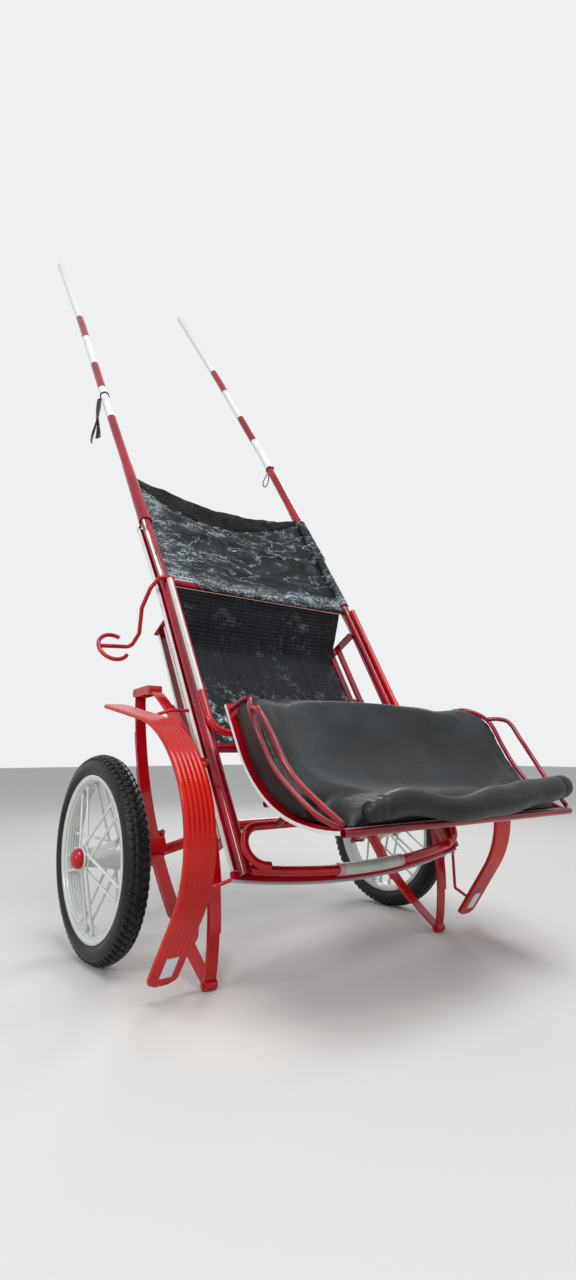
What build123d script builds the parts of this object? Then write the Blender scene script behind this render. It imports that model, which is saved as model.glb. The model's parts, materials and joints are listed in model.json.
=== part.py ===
from build123d import *
import math
import os

# A light two-wheeled horse cart of welded steel tube, parked on its tail with the shafts in the air.
# It is drawn in its driving attitude: x to the cart's right, y forward along the shafts, z up from the
# axle's centre line, in millimetres. The last section tips it back until the springs' rear eyes stand
# on the ground behind the wheels. Every pair of like pieces is made for side -1 (left) and +1 (right).

# Welded and bolted pieces lie this far apart, so that no two solids share volume.
weld_gap = 0.05
seat_gap = 0.3

# Wheels: light wheels with thick painted spokes. Stations along a hub are measured outwards.
wheel_radius = 300
track = 1224
tyre_width = 76
tyre_wall = 10
tyre_foot_width = 39
tyre_widest_radius = 262
tread_width = 60
tread_edge = 11
rim_flange_radius = 240
rim_bed_radius = 229
rim_inner_radius = 221
rim_width = 60
rim_flange_thickness = 4
hub_outer_end = 50
hub_outer_flange = 45
hub_outer_radius = 36
hub_inner_end = 62
hub_inner_flange = 55
hub_inner_radius = 46
hub_flange_thickness = 5
hub_neck_radius = 25
hub_drum_radius = 42
spoke_pairs = 5
spoke_diameter = 5.5
spoke_lean = 48
spoke_inset = 6
spoke_rim_offset = 8
cap_radius = 28
cap_length = 19
cap_rim = 6
stub_diameter = 20
stub_end_play = 6
bearing_clearance = 0.05
hub_side_gap = 5

# Frame. Its tubes are level as far as the level end, and run down from there to the shafts' tips.
# Each drop is how far the middle of the tube lies below the level part.
frame_height = 431
shaft_spacing = 836
shaft_diameter = 36
shaft_wall = 2.5
shaft_rear_end = 252
shaft_level_end = 720
shaft_joint = 1100
shoulder_reach = 1850
shoulder_drop = 70
elbow_reach = 2650
elbow_drop = 134
elbow_spacing = 804
tip_reach = 3450
tip_drop = 217
tip_spacing = 778
level_bend_radius = 90
shaft_bend_radius = 1500
tip_plug = 8
socket_start = 1085
socket_end = 1430
socket_start_diameter = 49
socket_end_diameter = 39
socket_bolt_diameter = 10
socket_bolt_length = 62
socket_bolt_inset = 16
tail_reach = 235
tail_bow = 38
tail_diameter = 28
tail_wall = 2
crossbar_reach = 773
crossbar_diameter = 25
cross_tube_reach = 122
strip_width = 27
strip_thickness = 10
strip_front = 1060
sleeve_length = 260
sleeve_diameter = 36
sleeve_offset = 20

# Bent rods on top of the frame, which carry the seat
loop_diameter = 23
loop_bend = 55
front_loop_reach = 155
front_loop_leg_end = 752
rear_loop_reach = 135
rear_loop_foot = 60

# Foot well
rail_width = 25
rail_thickness = 10
rail_spacing = 782
upper_rail_drop = 95
lower_rail_drop = 140
rail_front = 652
rail_rear = 125
hanger_thickness = 6
hanger_top_drop = 6
net_thickness = 3
net_rear = 205
net_slope_foot = 625
net_top_drop = 10
net_front = 762

# Dash of tarpaulin between the shafts
tarp_thickness = 3
tarp_top = 1325
tarp_sag = 85

# Seat: one curve in the side view, straight at the front and then two arcs up the back
seat_rise = 157
seat_front = 167
seat_bend_start = 31
seat_bend_radius = 355
seat_bend_sweep = 50
seat_back_radius = 580
seat_back_sweep = 16
seat_bar_width = 30
seat_bar_thickness = 10
seat_spacing = 860
board_thickness = 6
cushion_thickness = 50
cushion_cover = 7
cushion_edge = 12
cushion_margin = 14
bearer_diameter = 20
bearer_wall = 2
bearer_overhang = 5
bearer_post_spacing = 600
rear_bearer_reach = 135
top_rail_diameter = 20
roll_diameter = 78
roll_end = 408
roll_rise = 18
roll_bend = 600
armrest_diameter = 14
armrest_bend = 25
side_panel_thickness = 7
side_panel_margin = 6
side_panel_start = 0.25

# Armrest rods on the right side: x, y and rise above the seat's side bar of each corner
lower_armrest = (
    (430, 150, 9),
    (450, 120, 102),
    (486, 55, 147),
    (484, -45, 149),
    (476, -130, 159),
    (450, -250, 204),
    (430, -322, 258),
)
upper_armrest = (
    (486, 52, 149),
    (506, 20, 195),
    (498, -55, 211),
    (498, -140, 218),
    (482, -195, 230),
    (438, -312, 268),
)

# Fenders: top point in the side view, an arc to each side of it and a straight skirt below each arc
fender_spacing = 1212
fender_width = 122
fender_sheet = 2
fender_top = (-57, 582)
fender_rear_radius = 300
fender_rear_sweep = 65
fender_rear_skirt = 216
fender_front_radius = 336
fender_front_sweep = 50
fender_front_skirt = 270
fender_lip = 9
rib_height = 3
rib_width = 8
rib_count = 5
stay_diameter = 10
stay_bend = 12
reflector_length = 70
reflector_width = 34
reflector_thickness = 3
reflector_inset = 62

# Elliptic springs: a lower and an upper half of three leaves each, in the side view (y, z)
spring_spacing = 912
leaf_width = 36
leaf_thickness = 6
rear_eye = (-442, 196)
lower_middle = (10, 62)
lower_front_eye = (480, 172)
spring_seat_reach = 10
spring_seat_thickness = 8
upper_front_eye = (435, 262)
eye_radius = 14
knuckle_width = 20
pin_diameter = 12
pin_clearance = 0.1
leaf_reaches = (0.74, 0.5)
shackle_thickness = 4
shackle_pin_end = 1
spring_bolt_diameter = 10
spring_bolt_pitch = 56
clamp_plate = 7

# Axle
axle_diameter = 34
axle_arch_rise = 150
axle_arch_foot = 400
axle_arch_top = 220
axle_bend = 60

# Foot step on the left
step_rod = 14
step_ring_radius = 52
step_centre = (-535, 648, 200)
step_ring_start = 55
step_ring_sweep = 271
step_bend = 22

# Leather strap hung over the left shaft
strap_reach = 1950
strap_width = 30
strap_thickness = 3
strap_drop = 190

sides = (("left", -1), ("right", 1))
seat_level = frame_height + seat_rise
parts = {}


def cylinder(start, end, radius):
    start, end = Vector(*start), Vector(*end)
    return Solid.make_cylinder(radius, (end - start).length, Plane(origin=start, z_dir=end - start))


def pipe(start, end, radius, wall):
    return cylinder(start, end, radius) - cylinder(start, end, radius - wall)


def bent_rod(points, radius, bends, wall=0):
    path = FilletPolyline(*points, radius=bends)
    section = Circle(radius)
    if wall:
        section = section - Circle(radius - wall)
    return sweep(Plane(origin=path @ 0, z_dir=path % 0) * section, path=path)


def box(low, high):
    size = [b - a for a, b in zip(low, high)]
    middle = [(a + b) / 2 for a, b in zip(low, high)]
    return Pos(*middle) * Box(*size)


def side_view(face, x_low, x_high):
    # A face drawn in the side view (y, z) made thick from x_low to x_high.
    return extrude(Pos(x_low, 0, 0) * (Plane.YZ * face), x_high - x_low, dir=(1, 0, 0))


def polar(centre, radius, degrees):
    angle = math.radians(degrees)
    return (centre[0] + radius * math.cos(angle), centre[1] + radius * math.sin(angle))


def arc(centre, radius, start, end):
    ends = [polar(centre, radius, degrees) for degrees in (start, (start + end) / 2, end)]
    return ThreePointArc(*ends)


def turned(*outline):
    # A closed outline of station along the hub and radius, turned about the wheel's axis.
    return revolve(make_face(Polyline(*outline, close=True)), axis=Axis.X)


# Wheels
def make_tyre():
    # Straight lines from the foot to the crown, as the tread's knobs are too fine for this model.
    foot = rim_bed_radius + weld_gap
    half = tyre_foot_width / 2
    return turned(
        (-half, foot),
        (-tyre_width / 2, tyre_widest_radius),
        (-tread_width / 2, wheel_radius - tread_edge),
        (0, wheel_radius),
        (tread_width / 2, wheel_radius - tread_edge),
        (tyre_width / 2, tyre_widest_radius),
        (half, foot),
        (half - tyre_wall, foot),
        (0, wheel_radius - tyre_wall),
        (tyre_wall - half, foot),
    )


def make_rim():
    half = rim_width / 2
    flange = half - rim_flange_thickness
    return turned(
        (-half, rim_flange_radius),
        (-flange, rim_flange_radius),
        (-flange, rim_bed_radius),
        (flange, rim_bed_radius),
        (flange, rim_flange_radius),
        (half, rim_flange_radius),
        (half, rim_inner_radius + 5),
        (half / 2, rim_inner_radius),
        (-half / 2, rim_inner_radius),
        (-half, rim_inner_radius + 5),
    )


def make_hub():
    bore = stub_diameter / 2 + bearing_clearance
    edge = hub_flange_thickness / 2
    body = turned(
        (-hub_inner_end, bore),
        (-hub_inner_end, hub_drum_radius - 5),
        (-hub_inner_flange - edge, hub_drum_radius),
        (-hub_inner_flange - edge, hub_inner_radius),
        (-hub_inner_flange + edge, hub_inner_radius),
        (-hub_inner_flange + edge, hub_drum_radius),
        (hub_outer_flange - edge, hub_neck_radius),
        (hub_outer_flange - edge, hub_outer_radius),
        (hub_outer_flange + edge, hub_outer_radius),
        (hub_outer_flange + edge, hub_neck_radius),
        (hub_outer_end, hub_neck_radius),
        (hub_outer_end, bore),
    )
    spokes = []
    step = 360 / spoke_pairs
    flanges = (
        (hub_outer_flange, hub_outer_radius, spoke_rim_offset, 0),
        (-hub_inner_flange, hub_inner_radius, -spoke_rim_offset, step / 4),
    )
    for station, radius, rim_station, turn in flanges:
        for number in range(spoke_pairs):
            for lean in (-1, 1):
                start = turn + step * (number + lean / 4)
                foot = polar((0, 0), radius - spoke_inset, start)
                head = polar((0, 0), rim_bed_radius, start + lean * spoke_lean)
                face = station + lean * hub_flange_thickness / 2
                spokes.append(cylinder((face, *foot), (rim_station, *head), spoke_diameter / 2))
    inside = cylinder((-track / 2, 0, 0), (track / 2, 0, 0), rim_inner_radius - weld_gap)
    return body + [spoke & inside for spoke in spokes]


def make_cap():
    start = hub_outer_end + weld_gap
    rise = cap_length - cap_rim
    ball_radius = (cap_radius**2 + rise**2) / (2 * rise)
    centre = (start + cap_length - ball_radius, 0)
    edge = math.degrees(math.asin(cap_radius / ball_radius))
    outline = Polyline((start, 0), (start, cap_radius), polar(centre, ball_radius, edge))
    outline += arc(centre, ball_radius, edge, 0)
    outline += Line(polar(centre, ball_radius, 0), (start, 0))
    return revolve(make_face(outline), axis=Axis.X)


wheel = {"tyre": make_tyre(), "rim": make_rim(), "hub": make_hub(), "hub_cap": make_cap()}
for side, sign in sides:
    for name, piece in wheel.items():
        turned_out = piece if sign > 0 else mirror(piece, about=Plane.YZ)
        parts[f"{name}_{side}"] = Pos(sign * track / 2, 0, 0) * turned_out

# Frame tubes
shaft_radius = shaft_diameter / 2
shaft_x = shaft_spacing / 2
shaft_line = (
    (-shaft_rear_end, shaft_spacing, 0),
    (shaft_level_end, shaft_spacing, 0),
    (shoulder_reach, shaft_spacing, shoulder_drop),
    (elbow_reach, elbow_spacing, elbow_drop),
    (tip_reach, tip_spacing, tip_drop),
)


def shaft_point(sign, reach):
    # The point of a shaft's middle line at this reach, with its bends left sharp.
    for (start, start_spacing, start_drop), (end, end_spacing, end_drop) in zip(shaft_line, shaft_line[1:]):
        if reach <= end:
            share = (reach - start) / (end - start)
            spacing = start_spacing + share * (end_spacing - start_spacing)
            drop = start_drop + share * (end_drop - start_drop)
            return (sign * spacing / 2, reach, frame_height - drop)


def socket(sign, clearance):
    # The cone over the joint of a shaft's two lengths, grown by the clearance.
    start, end = Vector(*shaft_point(sign, socket_start)), Vector(*shaft_point(sign, socket_end))
    radii = (socket_start_diameter / 2 + clearance, socket_end_diameter / 2 + clearance)
    return Solid.make_cone(*radii, (end - start).length, Plane(origin=start, z_dir=end - start))


shaft_solids = {}
front_solids = {}
for side, sign in sides:
    rear_route = [shaft_point(sign, reach) for reach in (-shaft_rear_end, shaft_level_end, shaft_joint)]
    front_reaches = (shaft_joint + weld_gap, shoulder_reach, elbow_reach, tip_reach)
    front_route = [shaft_point(sign, reach) for reach in front_reaches]
    tip = front_route[-1]
    before_tip = Vector(*tip) - Vector(*front_route[-2])
    plug_start = Vector(*tip) - before_tip.normalized() * tip_plug
    plug = cylinder(tuple(plug_start), tip, shaft_radius - shaft_wall / 2)
    parts[f"shaft_rear_{side}"] = bent_rod(rear_route, shaft_radius, level_bend_radius, shaft_wall)
    parts[f"shaft_front_{side}"] = bent_rod(front_route, shaft_radius, shaft_bend_radius, shaft_wall) + plug
    shaft_solids[side] = bent_rod(rear_route, shaft_radius + weld_gap, level_bend_radius)
    front_solids[side] = bent_rod(front_route, shaft_radius + weld_gap, shaft_bend_radius)
    bore_ends = (shaft_point(sign, shaft_level_end), shaft_point(sign, shoulder_reach))
    bore = cylinder(*bore_ends, shaft_radius + weld_gap)
    bolt_top = shaft_point(sign, socket_start + socket_bolt_inset)
    bolt_end = (bolt_top[0], bolt_top[1], bolt_top[2] - socket_bolt_length)
    bolt = cylinder(bolt_top, bolt_end, socket_bolt_diameter / 2)
    parts[f"shaft_clamps_{side}"] = socket(sign, 0) + bolt - bore

both_shafts = [shaft_solids["left"], shaft_solids["right"]]


def crosswise(reach, height, diameter, wall):
    # A tube from shaft to shaft, its ends cut round them.
    ends = ((-shaft_x, reach, height), (shaft_x, reach, height))
    return pipe(*ends, diameter / 2, wall) - both_shafts


crossbar_height = shaft_point(1, crossbar_reach)[2]
parts["frame_cross_tube"] = crosswise(cross_tube_reach, frame_height, tail_diameter, tail_wall)
parts["front_crossbar"] = crosswise(crossbar_reach, crossbar_height, crossbar_diameter, tail_wall)

# The tail is bowed backwards: its middle line is an arc.
tail_curve_radius = (shaft_x**2 + tail_bow**2) / (2 * tail_bow)
tail_centre = (0, tail_curve_radius - tail_reach - tail_bow)


def tail_point(x, outwards=0):
    # The point of the tail's curve at this station across the cart, in the view from above.
    angle = math.degrees(math.asin(x / tail_curve_radius))
    return polar(tail_centre, tail_curve_radius + outwards, 270 + angle)


def tail_tube(start, end, radius, wall):
    stations = (start, (start + end) / 2, end)
    path = ThreePointArc(*[(*tail_point(x), frame_height) for x in stations])
    section = Circle(radius) - Circle(radius - wall)
    return sweep(Plane(origin=path @ 0, z_dir=path % 0) * section, path=path)


tail_radius = tail_diameter / 2
sleeve_radius = sleeve_diameter / 2
sleeve_ends = (sleeve_offset - sleeve_length / 2, sleeve_offset + sleeve_length / 2)
parts["tail_tube"] = tail_tube(-shaft_x, shaft_x, tail_radius, tail_wall) - both_shafts
parts["tail_sleeve"] = tail_tube(*sleeve_ends, sleeve_radius, sleeve_radius - tail_radius - weld_gap)

# Edge strip of flat bar below the tail tube and below the shafts' outer halves
strip_outside = shaft_x + strip_width
strip_top = frame_height - shaft_radius - weld_gap
strip_low = strip_top - strip_thickness
strip_angle = math.degrees(math.asin(strip_outside / tail_curve_radius))
strip_outline = arc(tail_centre, tail_curve_radius, 270 - strip_angle, 270 + strip_angle)
strip_outer = tail_curve_radius + strip_width
strip_outline += arc(tail_centre, strip_outer, 270 - strip_angle, 270 + strip_angle)
for angle in (270 - strip_angle, 270 + strip_angle):
    inner_corner = polar(tail_centre, tail_curve_radius, angle)
    strip_outline += Line(inner_corner, polar(tail_centre, strip_outer, angle))
tail_strip = extrude(make_face(strip_outline), strip_thickness)
parts["edge_strip_tail"] = Pos(0, 0, strip_low) * tail_strip
strip_start = tail_point(strip_outside)[1] + weld_gap
strip_drop = frame_height - shaft_point(1, strip_front)[2]
strip_face = make_face(
    Polyline(
        (strip_start, strip_low),
        (shaft_level_end, strip_low),
        (strip_front, strip_low - strip_drop),
        (strip_front, strip_top - strip_drop),
        (shaft_level_end, strip_top),
        (strip_start, strip_top),
        close=True,
    )
)
for side, sign in sides:
    low_x, high_x = sorted((sign * shaft_x, sign * strip_outside))
    parts[f"edge_strip_{side}"] = side_view(strip_face, low_x, high_x)

# Bent rods on top of the frame: the front one lies on the shafts up to the crossbar, and the rear one
# turns inwards along the tail tube.
loop_radius = loop_diameter / 2
loop_height = frame_height + shaft_radius + loop_radius + weld_gap
foot_x = shaft_x - rear_loop_foot
front_corners = (
    (shaft_x, front_loop_leg_end, loop_height),
    (shaft_x, front_loop_reach, loop_height),
)
rear_corners = (
    (foot_x, tail_point(foot_x)[1], loop_height),
    (shaft_x, -tail_reach, loop_height),
    (shaft_x, -rear_loop_reach, loop_height),
)
for name, corners in (("seat_loop_front", front_corners), ("seat_loop_rear", rear_corners)):
    left_half = [(-x, y, z) for x, y, z in corners]
    parts[name] = bent_rod(left_half + list(reversed(corners)), loop_radius, loop_bend)

# Foot well
rail_x = rail_spacing / 2
rail_half = rail_width / 2
lower_rail_top = frame_height - lower_rail_drop
lower_rail_bottom = lower_rail_top - rail_thickness
hanger_top = frame_height - hanger_top_drop
for side, sign in sides:
    inner_x, outer_x = sign * (rail_x - rail_half), sign * (rail_x + rail_half)
    low_x, high_x = sorted((inner_x, outer_x))
    pieces = []
    for drop in (upper_rail_drop, lower_rail_drop):
        top = frame_height - drop
        pieces.append(box((low_x, -rail_rear, top - rail_thickness), (high_x, rail_front, top)))
    low_x, high_x = sorted((inner_x, sign * shaft_x))
    for start in (-rail_rear, rail_front):
        pieces.append(box((low_x, start, lower_rail_bottom), (high_x, start + hanger_thickness, hanger_top)))
    side_rails = pieces[0] + pieces[1:]
    parts[f"floor_side_{side}"] = side_rails - shaft_solids[side] - parts[f"edge_strip_{side}"]

net_x = rail_x - rail_half - seat_gap
net_low = lower_rail_top - rail_thickness / 2 - net_thickness / 2
net_top = frame_height - net_top_drop
net_outline = Polyline(
    (net_rear, net_low),
    (net_slope_foot, net_low),
    (net_front, net_top),
    (net_front - net_thickness, net_top + net_thickness),
    (net_slope_foot - net_thickness, net_low + net_thickness),
    (net_rear, net_low + net_thickness),
    close=True,
)
parts["floor_net"] = side_view(make_face(net_outline), -net_x, net_x)

# Dash: flat between the sloping parts of the shafts
shaft_slope = shoulder_drop / (shoulder_reach - shaft_level_end)
tarp_x = shaft_x - shaft_radius - seat_gap
tarp_foot = crossbar_reach + crossbar_diameter / 2 + seat_gap - shaft_level_end
tarp_head = tarp_top - shaft_level_end
hem = ThreePointArc((tarp_x, tarp_head), (0, tarp_head - tarp_sag), (-tarp_x, tarp_head))
tarp_outline = Polyline((-tarp_x, tarp_head), (-tarp_x, tarp_foot), (tarp_x, tarp_foot), (tarp_x, tarp_head))
tarp_sheet = Pos(0, 0, -tarp_thickness / 2) * extrude(make_face(tarp_outline + hem), tarp_thickness)
tarp_plane = Plane(origin=(0, shaft_level_end, frame_height), x_dir=(1, 0, 0), z_dir=(0, shaft_slope, 1))
parts["dash_tarp"] = tarp_plane * tarp_sheet - [socket(-1, seat_gap), socket(1, seat_gap)]

# Seat curve: how far along the back it is measured as an angle from the upright radius
seat_centre = (seat_bend_start, seat_level + seat_bend_radius)
back_shift = seat_back_radius - seat_bend_radius
back_centre = polar(seat_centre, back_shift, 90 - seat_bend_sweep)
seat_end_angle = seat_bend_sweep + seat_back_sweep


def seat_point(angle, lift):
    # The point on the back at this angle, lifted towards the sitter.
    if angle <= seat_bend_sweep:
        return polar(seat_centre, seat_bend_radius - lift, 270 - angle)
    return polar(back_centre, seat_back_radius - lift, 270 - angle)


def seat_band(low, high, front, end_angle):
    # The side view of a sheet along the seat, between two lifts.
    def edge(lift, start, end):
        middle = seat_point((start + end) / 2, lift)
        return ThreePointArc(seat_point(start, lift), middle, seat_point(end, lift))

    outline = Line((front, seat_level + low), seat_point(0, low))
    outline += edge(low, 0, seat_bend_sweep)
    outline += edge(low, seat_bend_sweep, end_angle)
    outline += Line(seat_point(end_angle, low), seat_point(end_angle, high))
    outline += edge(high, seat_bend_sweep, end_angle)
    outline += edge(high, 0, seat_bend_sweep)
    outline += Polyline(seat_point(0, high), (front, seat_level + high), (front, seat_level + low))
    return make_face(outline)


seat_x = seat_spacing / 2
half_bar = seat_bar_thickness / 2
rail_centre = seat_point(seat_end_angle, 0)
top_rail_radius = top_rail_diameter / 2
rail_ends = [(end * (seat_x + seat_bar_width / 2), *rail_centre) for end in (-1, 1)]
parts["seat_top_rail"] = pipe(*rail_ends, top_rail_radius, bearer_wall)
rail_solid = cylinder(*rail_ends, top_rail_radius + weld_gap)
bar_band = seat_band(-half_bar, half_bar, seat_front, seat_end_angle)
seat_bars = {}
for side, sign in sides:
    low_x = sign * seat_x - seat_bar_width / 2
    bar = side_view(bar_band, low_x, low_x + seat_bar_width) - rail_solid
    seat_bars[side] = bar
    parts[f"seat_side_bar_{side}"] = bar

# The board lies on the bearers between the side bars, level with their undersides.
inner_x = seat_x - seat_bar_width / 2 - weld_gap
board_low = weld_gap - half_bar
board_high = board_low + board_thickness
board_angle = seat_end_angle - math.degrees((top_rail_radius + seat_gap) / seat_back_radius)
board_band = seat_band(board_low, board_high, seat_front, board_angle)
parts["seat_board"] = side_view(board_band, -inner_x, inner_x)

# The cushion is an upholstered cover, closed by the board below it.
cushion_low = half_bar + seat_gap
cushion_x = seat_x - cushion_margin
under_cover = cushion_thickness - cushion_cover
cushion_angle = board_angle - math.degrees(roll_diameter / 4 / seat_back_radius)
cavity_angle = cushion_angle - math.degrees(cushion_edge / seat_back_radius)
cushion_outside = seat_band(cushion_low, cushion_thickness, seat_front - seat_gap, cushion_angle)
cushion_inside = seat_band(0, under_cover, seat_front - seat_gap - cushion_edge, cavity_angle)
cavity = side_view(cushion_inside, cushion_edge - cushion_x, cushion_x - cushion_edge)
parts["seat_cushion"] = side_view(cushion_outside, -cushion_x, cushion_x) - cavity

# Bearers under the side bars, on posts from the bent rods
bearer_radius = bearer_diameter / 2
rear_angle = math.degrees(math.asin((seat_bend_start + rear_bearer_reach) / seat_bend_radius))
bearer_lift = -half_bar - weld_gap - bearer_radius
bearer_places = (
    ("front", (front_loop_reach, seat_level + bearer_lift), front_loop_reach),
    ("rear", seat_point(rear_angle, bearer_lift), -rear_loop_reach),
)
for name, (bearer_y, bearer_z), loop_y in bearer_places:
    bar_ends = [(end * (seat_x + bearer_overhang), bearer_y, bearer_z) for end in (-1, 1)]
    bearer = cylinder(*bar_ends, bearer_radius)
    loop_ends = [(end * shaft_x, loop_y, loop_height) for end in (-1, 1)]
    loop_solid = cylinder(*loop_ends, loop_radius + weld_gap)
    for sign in (-1, 1):
        post_x = sign * bearer_post_spacing / 2
        foot = (post_x, loop_y, loop_height)
        bearer = bearer + (cylinder(foot, (post_x, bearer_y, bearer_z), bearer_radius) - loop_solid)
    hollow = cylinder(*bar_ends, bearer_radius - bearer_wall)
    parts[f"seat_bearer_{name}"] = bearer - hollow

# Roll of padding along the top rail
roll_radius = roll_diameter / 2
roll_lift = roll_radius + top_rail_radius + seat_gap
roll_y, roll_z = polar(rail_centre, roll_lift, 180 - seat_end_angle)
roll_route = (
    (-roll_end, roll_y, roll_z),
    (seat_x / 4, roll_y, roll_z),
    (roll_end, roll_y, roll_z + roll_rise),
)
parts["seat_roll"] = bent_rod(roll_route, roll_radius, roll_bend)

# Armrests and side panels
def bar_top(reach):
    # The height of a side bar's upper face, a little high on the upper part of the back.
    if reach > seat_bend_start:
        return seat_level + half_bar
    drop = math.sqrt((seat_bend_radius - half_bar) ** 2 - (seat_bend_start - reach) ** 2)
    return seat_level + seat_bend_radius - drop


panel_front = [a + (b - a) * side_panel_start for a, b in zip(lower_armrest[1], lower_armrest[2])]
for side, sign in sides:
    rods = []
    for corners in (lower_armrest, upper_armrest):
        route = [(sign * x, y, seat_level + rise) for x, y, rise in corners]
        rods.append(bent_rod(route, armrest_diameter / 2, armrest_bend))
    rods = rods[0] + rods[1] - seat_bars[side] - rail_solid
    parts[f"armrests_{side}"] = rods
    sections = []
    for rod_x, y, rise in (panel_front, *lower_armrest[2:-1]):
        rod_z = seat_level + rise
        foot_z = bar_top(y) + seat_gap
        span = math.hypot(rod_x - seat_x, rod_z - foot_z)
        share = 1 - (armrest_diameter / 2 + side_panel_margin) / span
        top_x = seat_x + (rod_x - seat_x) * share
        top_z = foot_z + (rod_z - foot_z) * share
        outline = Polyline(
            (sign * seat_x, y, foot_z),
            (sign * top_x, y, top_z),
            (sign * (top_x - side_panel_thickness), y, top_z),
            (sign * (seat_x - side_panel_thickness), y, foot_z),
            close=True,
        )
        sections.append(make_face(outline))
    parts[f"seat_side_{side}"] = loft(sections, ruled=True)

# Fenders
front_centre = (fender_top[0], fender_top[1] - fender_front_radius)
rear_centre = (fender_top[0], fender_top[1] - fender_rear_radius)


def fender_band(low, high):
    # The side view of a sheet along the fender, between two heights above its middle line.
    def skirt(centre, radius, angle, length, turn):
        top = polar(centre, radius, angle)
        foot = polar(top, length, angle + turn)
        return top, foot

    front_angle = 90 - fender_front_sweep
    rear_angle = 90 + fender_rear_sweep
    front = {}
    rear = {}
    for h in (low, high):
        front[h] = skirt(front_centre, fender_front_radius + h, front_angle, fender_front_skirt, -90)
        rear[h] = skirt(rear_centre, fender_rear_radius + h, rear_angle, fender_rear_skirt, 90)
    outline = Line(front[low][1], front[low][0])
    outline += arc(front_centre, fender_front_radius + low, front_angle, 90)
    outline += arc(rear_centre, fender_rear_radius + low, 90, rear_angle)
    outline += Polyline(rear[low][0], rear[low][1], rear[high][1], rear[high][0])
    outline += arc(rear_centre, fender_rear_radius + high, rear_angle, 90)
    outline += arc(front_centre, fender_front_radius + high, 90, front_angle)
    outline += Polyline(front[high][0], front[high][1], front[low][1])
    return make_face(outline)


fender_x = fender_spacing / 2
fender_half = fender_width / 2
rib_pitch = fender_width / (rib_count + 1)
sheet = side_view(fender_band(0, fender_sheet), -fender_half, fender_half)
lips = [
    side_view(fender_band(-fender_lip, 1), low, low + fender_sheet)
    for low in (-fender_half, fender_half - fender_sheet)
]
ribs = [
    side_view(fender_band(1, fender_sheet + rib_height), middle - rib_width / 2, middle + rib_width / 2)
    for middle in [rib_pitch * (number + 1) - fender_half for number in range(rib_count)]
]
fender = sheet + lips + ribs
plate_lift = fender_rear_radius + fender_sheet + rib_height + weld_gap + reflector_thickness / 2
plate_place = polar(
    polar(rear_centre, plate_lift, 90 + fender_rear_sweep),
    fender_rear_skirt - reflector_inset,
    180 + fender_rear_sweep,
)
reflector = Rot(fender_rear_sweep - 90, 0, 0) * Box(reflector_width, reflector_thickness, reflector_length)
for side, sign in sides:
    fender_solid = Pos(sign * fender_x, 0, 0) * fender
    parts[f"fender_{side}"] = fender_solid
    parts[f"reflector_{side}"] = Pos(sign * fender_x, *plate_place) * reflector
    bar_edge = strip_outside + weld_gap
    inner_edge = fender_x - fender_half
    stay_radius = stay_diameter / 2
    strip_middle = strip_top - strip_thickness / 2
    rear_stay = (
        (bar_edge, -250, strip_middle),
        (505, -250, 345),
        (515, -345, 285),
        (inner_edge + 15, -379, 280),
    )
    top_stay = (
        (bar_edge, 20, strip_middle),
        (480, 20, strip_middle),
        (530, 10, 560),
        (inner_edge + 14, 8, 572),
    )
    front_stay = (
        (bar_edge, 262, strip_middle),
        (500, 262, strip_middle),
        (inner_edge + 15, 245, strip_middle - 6),
    )
    stays = []
    for stay in (rear_stay, top_stay, front_stay):
        rod = bent_rod([(sign * x, y, z) for x, y, z in stay], stay_radius, stay_bend)
        cut = rod - fender_solid - parts[f"edge_strip_{side}"] - parts["edge_strip_tail"]
        stays.append(cut.solids().sort_by(SortBy.VOLUME)[-1])
    parts[f"fender_stays_{side}"] = Compound(stays)


# Springs: the upper half's middle lies against the spring seat below the edge strip.
pack_depth = leaf_thickness * len(leaf_reaches)
seat_low = strip_low - weld_gap - spring_seat_thickness
upper_middle = (spring_seat_reach, seat_low - pack_depth - leaf_thickness / 2)


def circle_through(first, second, third):
    (ax, ay), (bx, by), (cx, cy) = first, second, third
    scale = 2 * (ax * (by - cy) + bx * (cy - ay) + cx * (ay - by))
    a, b, c = ax * ax + ay * ay, bx * bx + by * by, cx * cx + cy * cy
    centre = (
        (a * (by - cy) + b * (cy - ay) + c * (ay - by)) / scale,
        (a * (cx - bx) + b * (ax - cx) + c * (bx - ax)) / scale,
    )
    return centre, math.dist(centre, first)


def bearing(centre, point):
    return math.degrees(math.atan2(point[1] - centre[1], point[0] - centre[0])) % 360


def leaf_pack(middle, front_eye):
    # The side views of the main leaf and of the shorter leaves outside it.
    centre, radius = circle_through(rear_eye, middle, front_eye)
    middle_angle = bearing(centre, middle)
    rear = bearing(centre, rear_eye) - middle_angle
    front = bearing(centre, front_eye) - middle_angle
    leaves = []
    for number, reach in enumerate((1,) + leaf_reaches):
        inner = radius + (number - 0.5) * leaf_thickness
        outer = inner + leaf_thickness
        start, end = middle_angle + reach * rear, middle_angle + reach * front
        outline = arc(centre, inner, start, end) + arc(centre, outer, start, end)
        outline += Line(polar(centre, inner, start), polar(centre, outer, start))
        outline += Line(polar(centre, inner, end), polar(centre, outer, end))
        leaves.append(make_face(outline))
    return leaves


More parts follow.
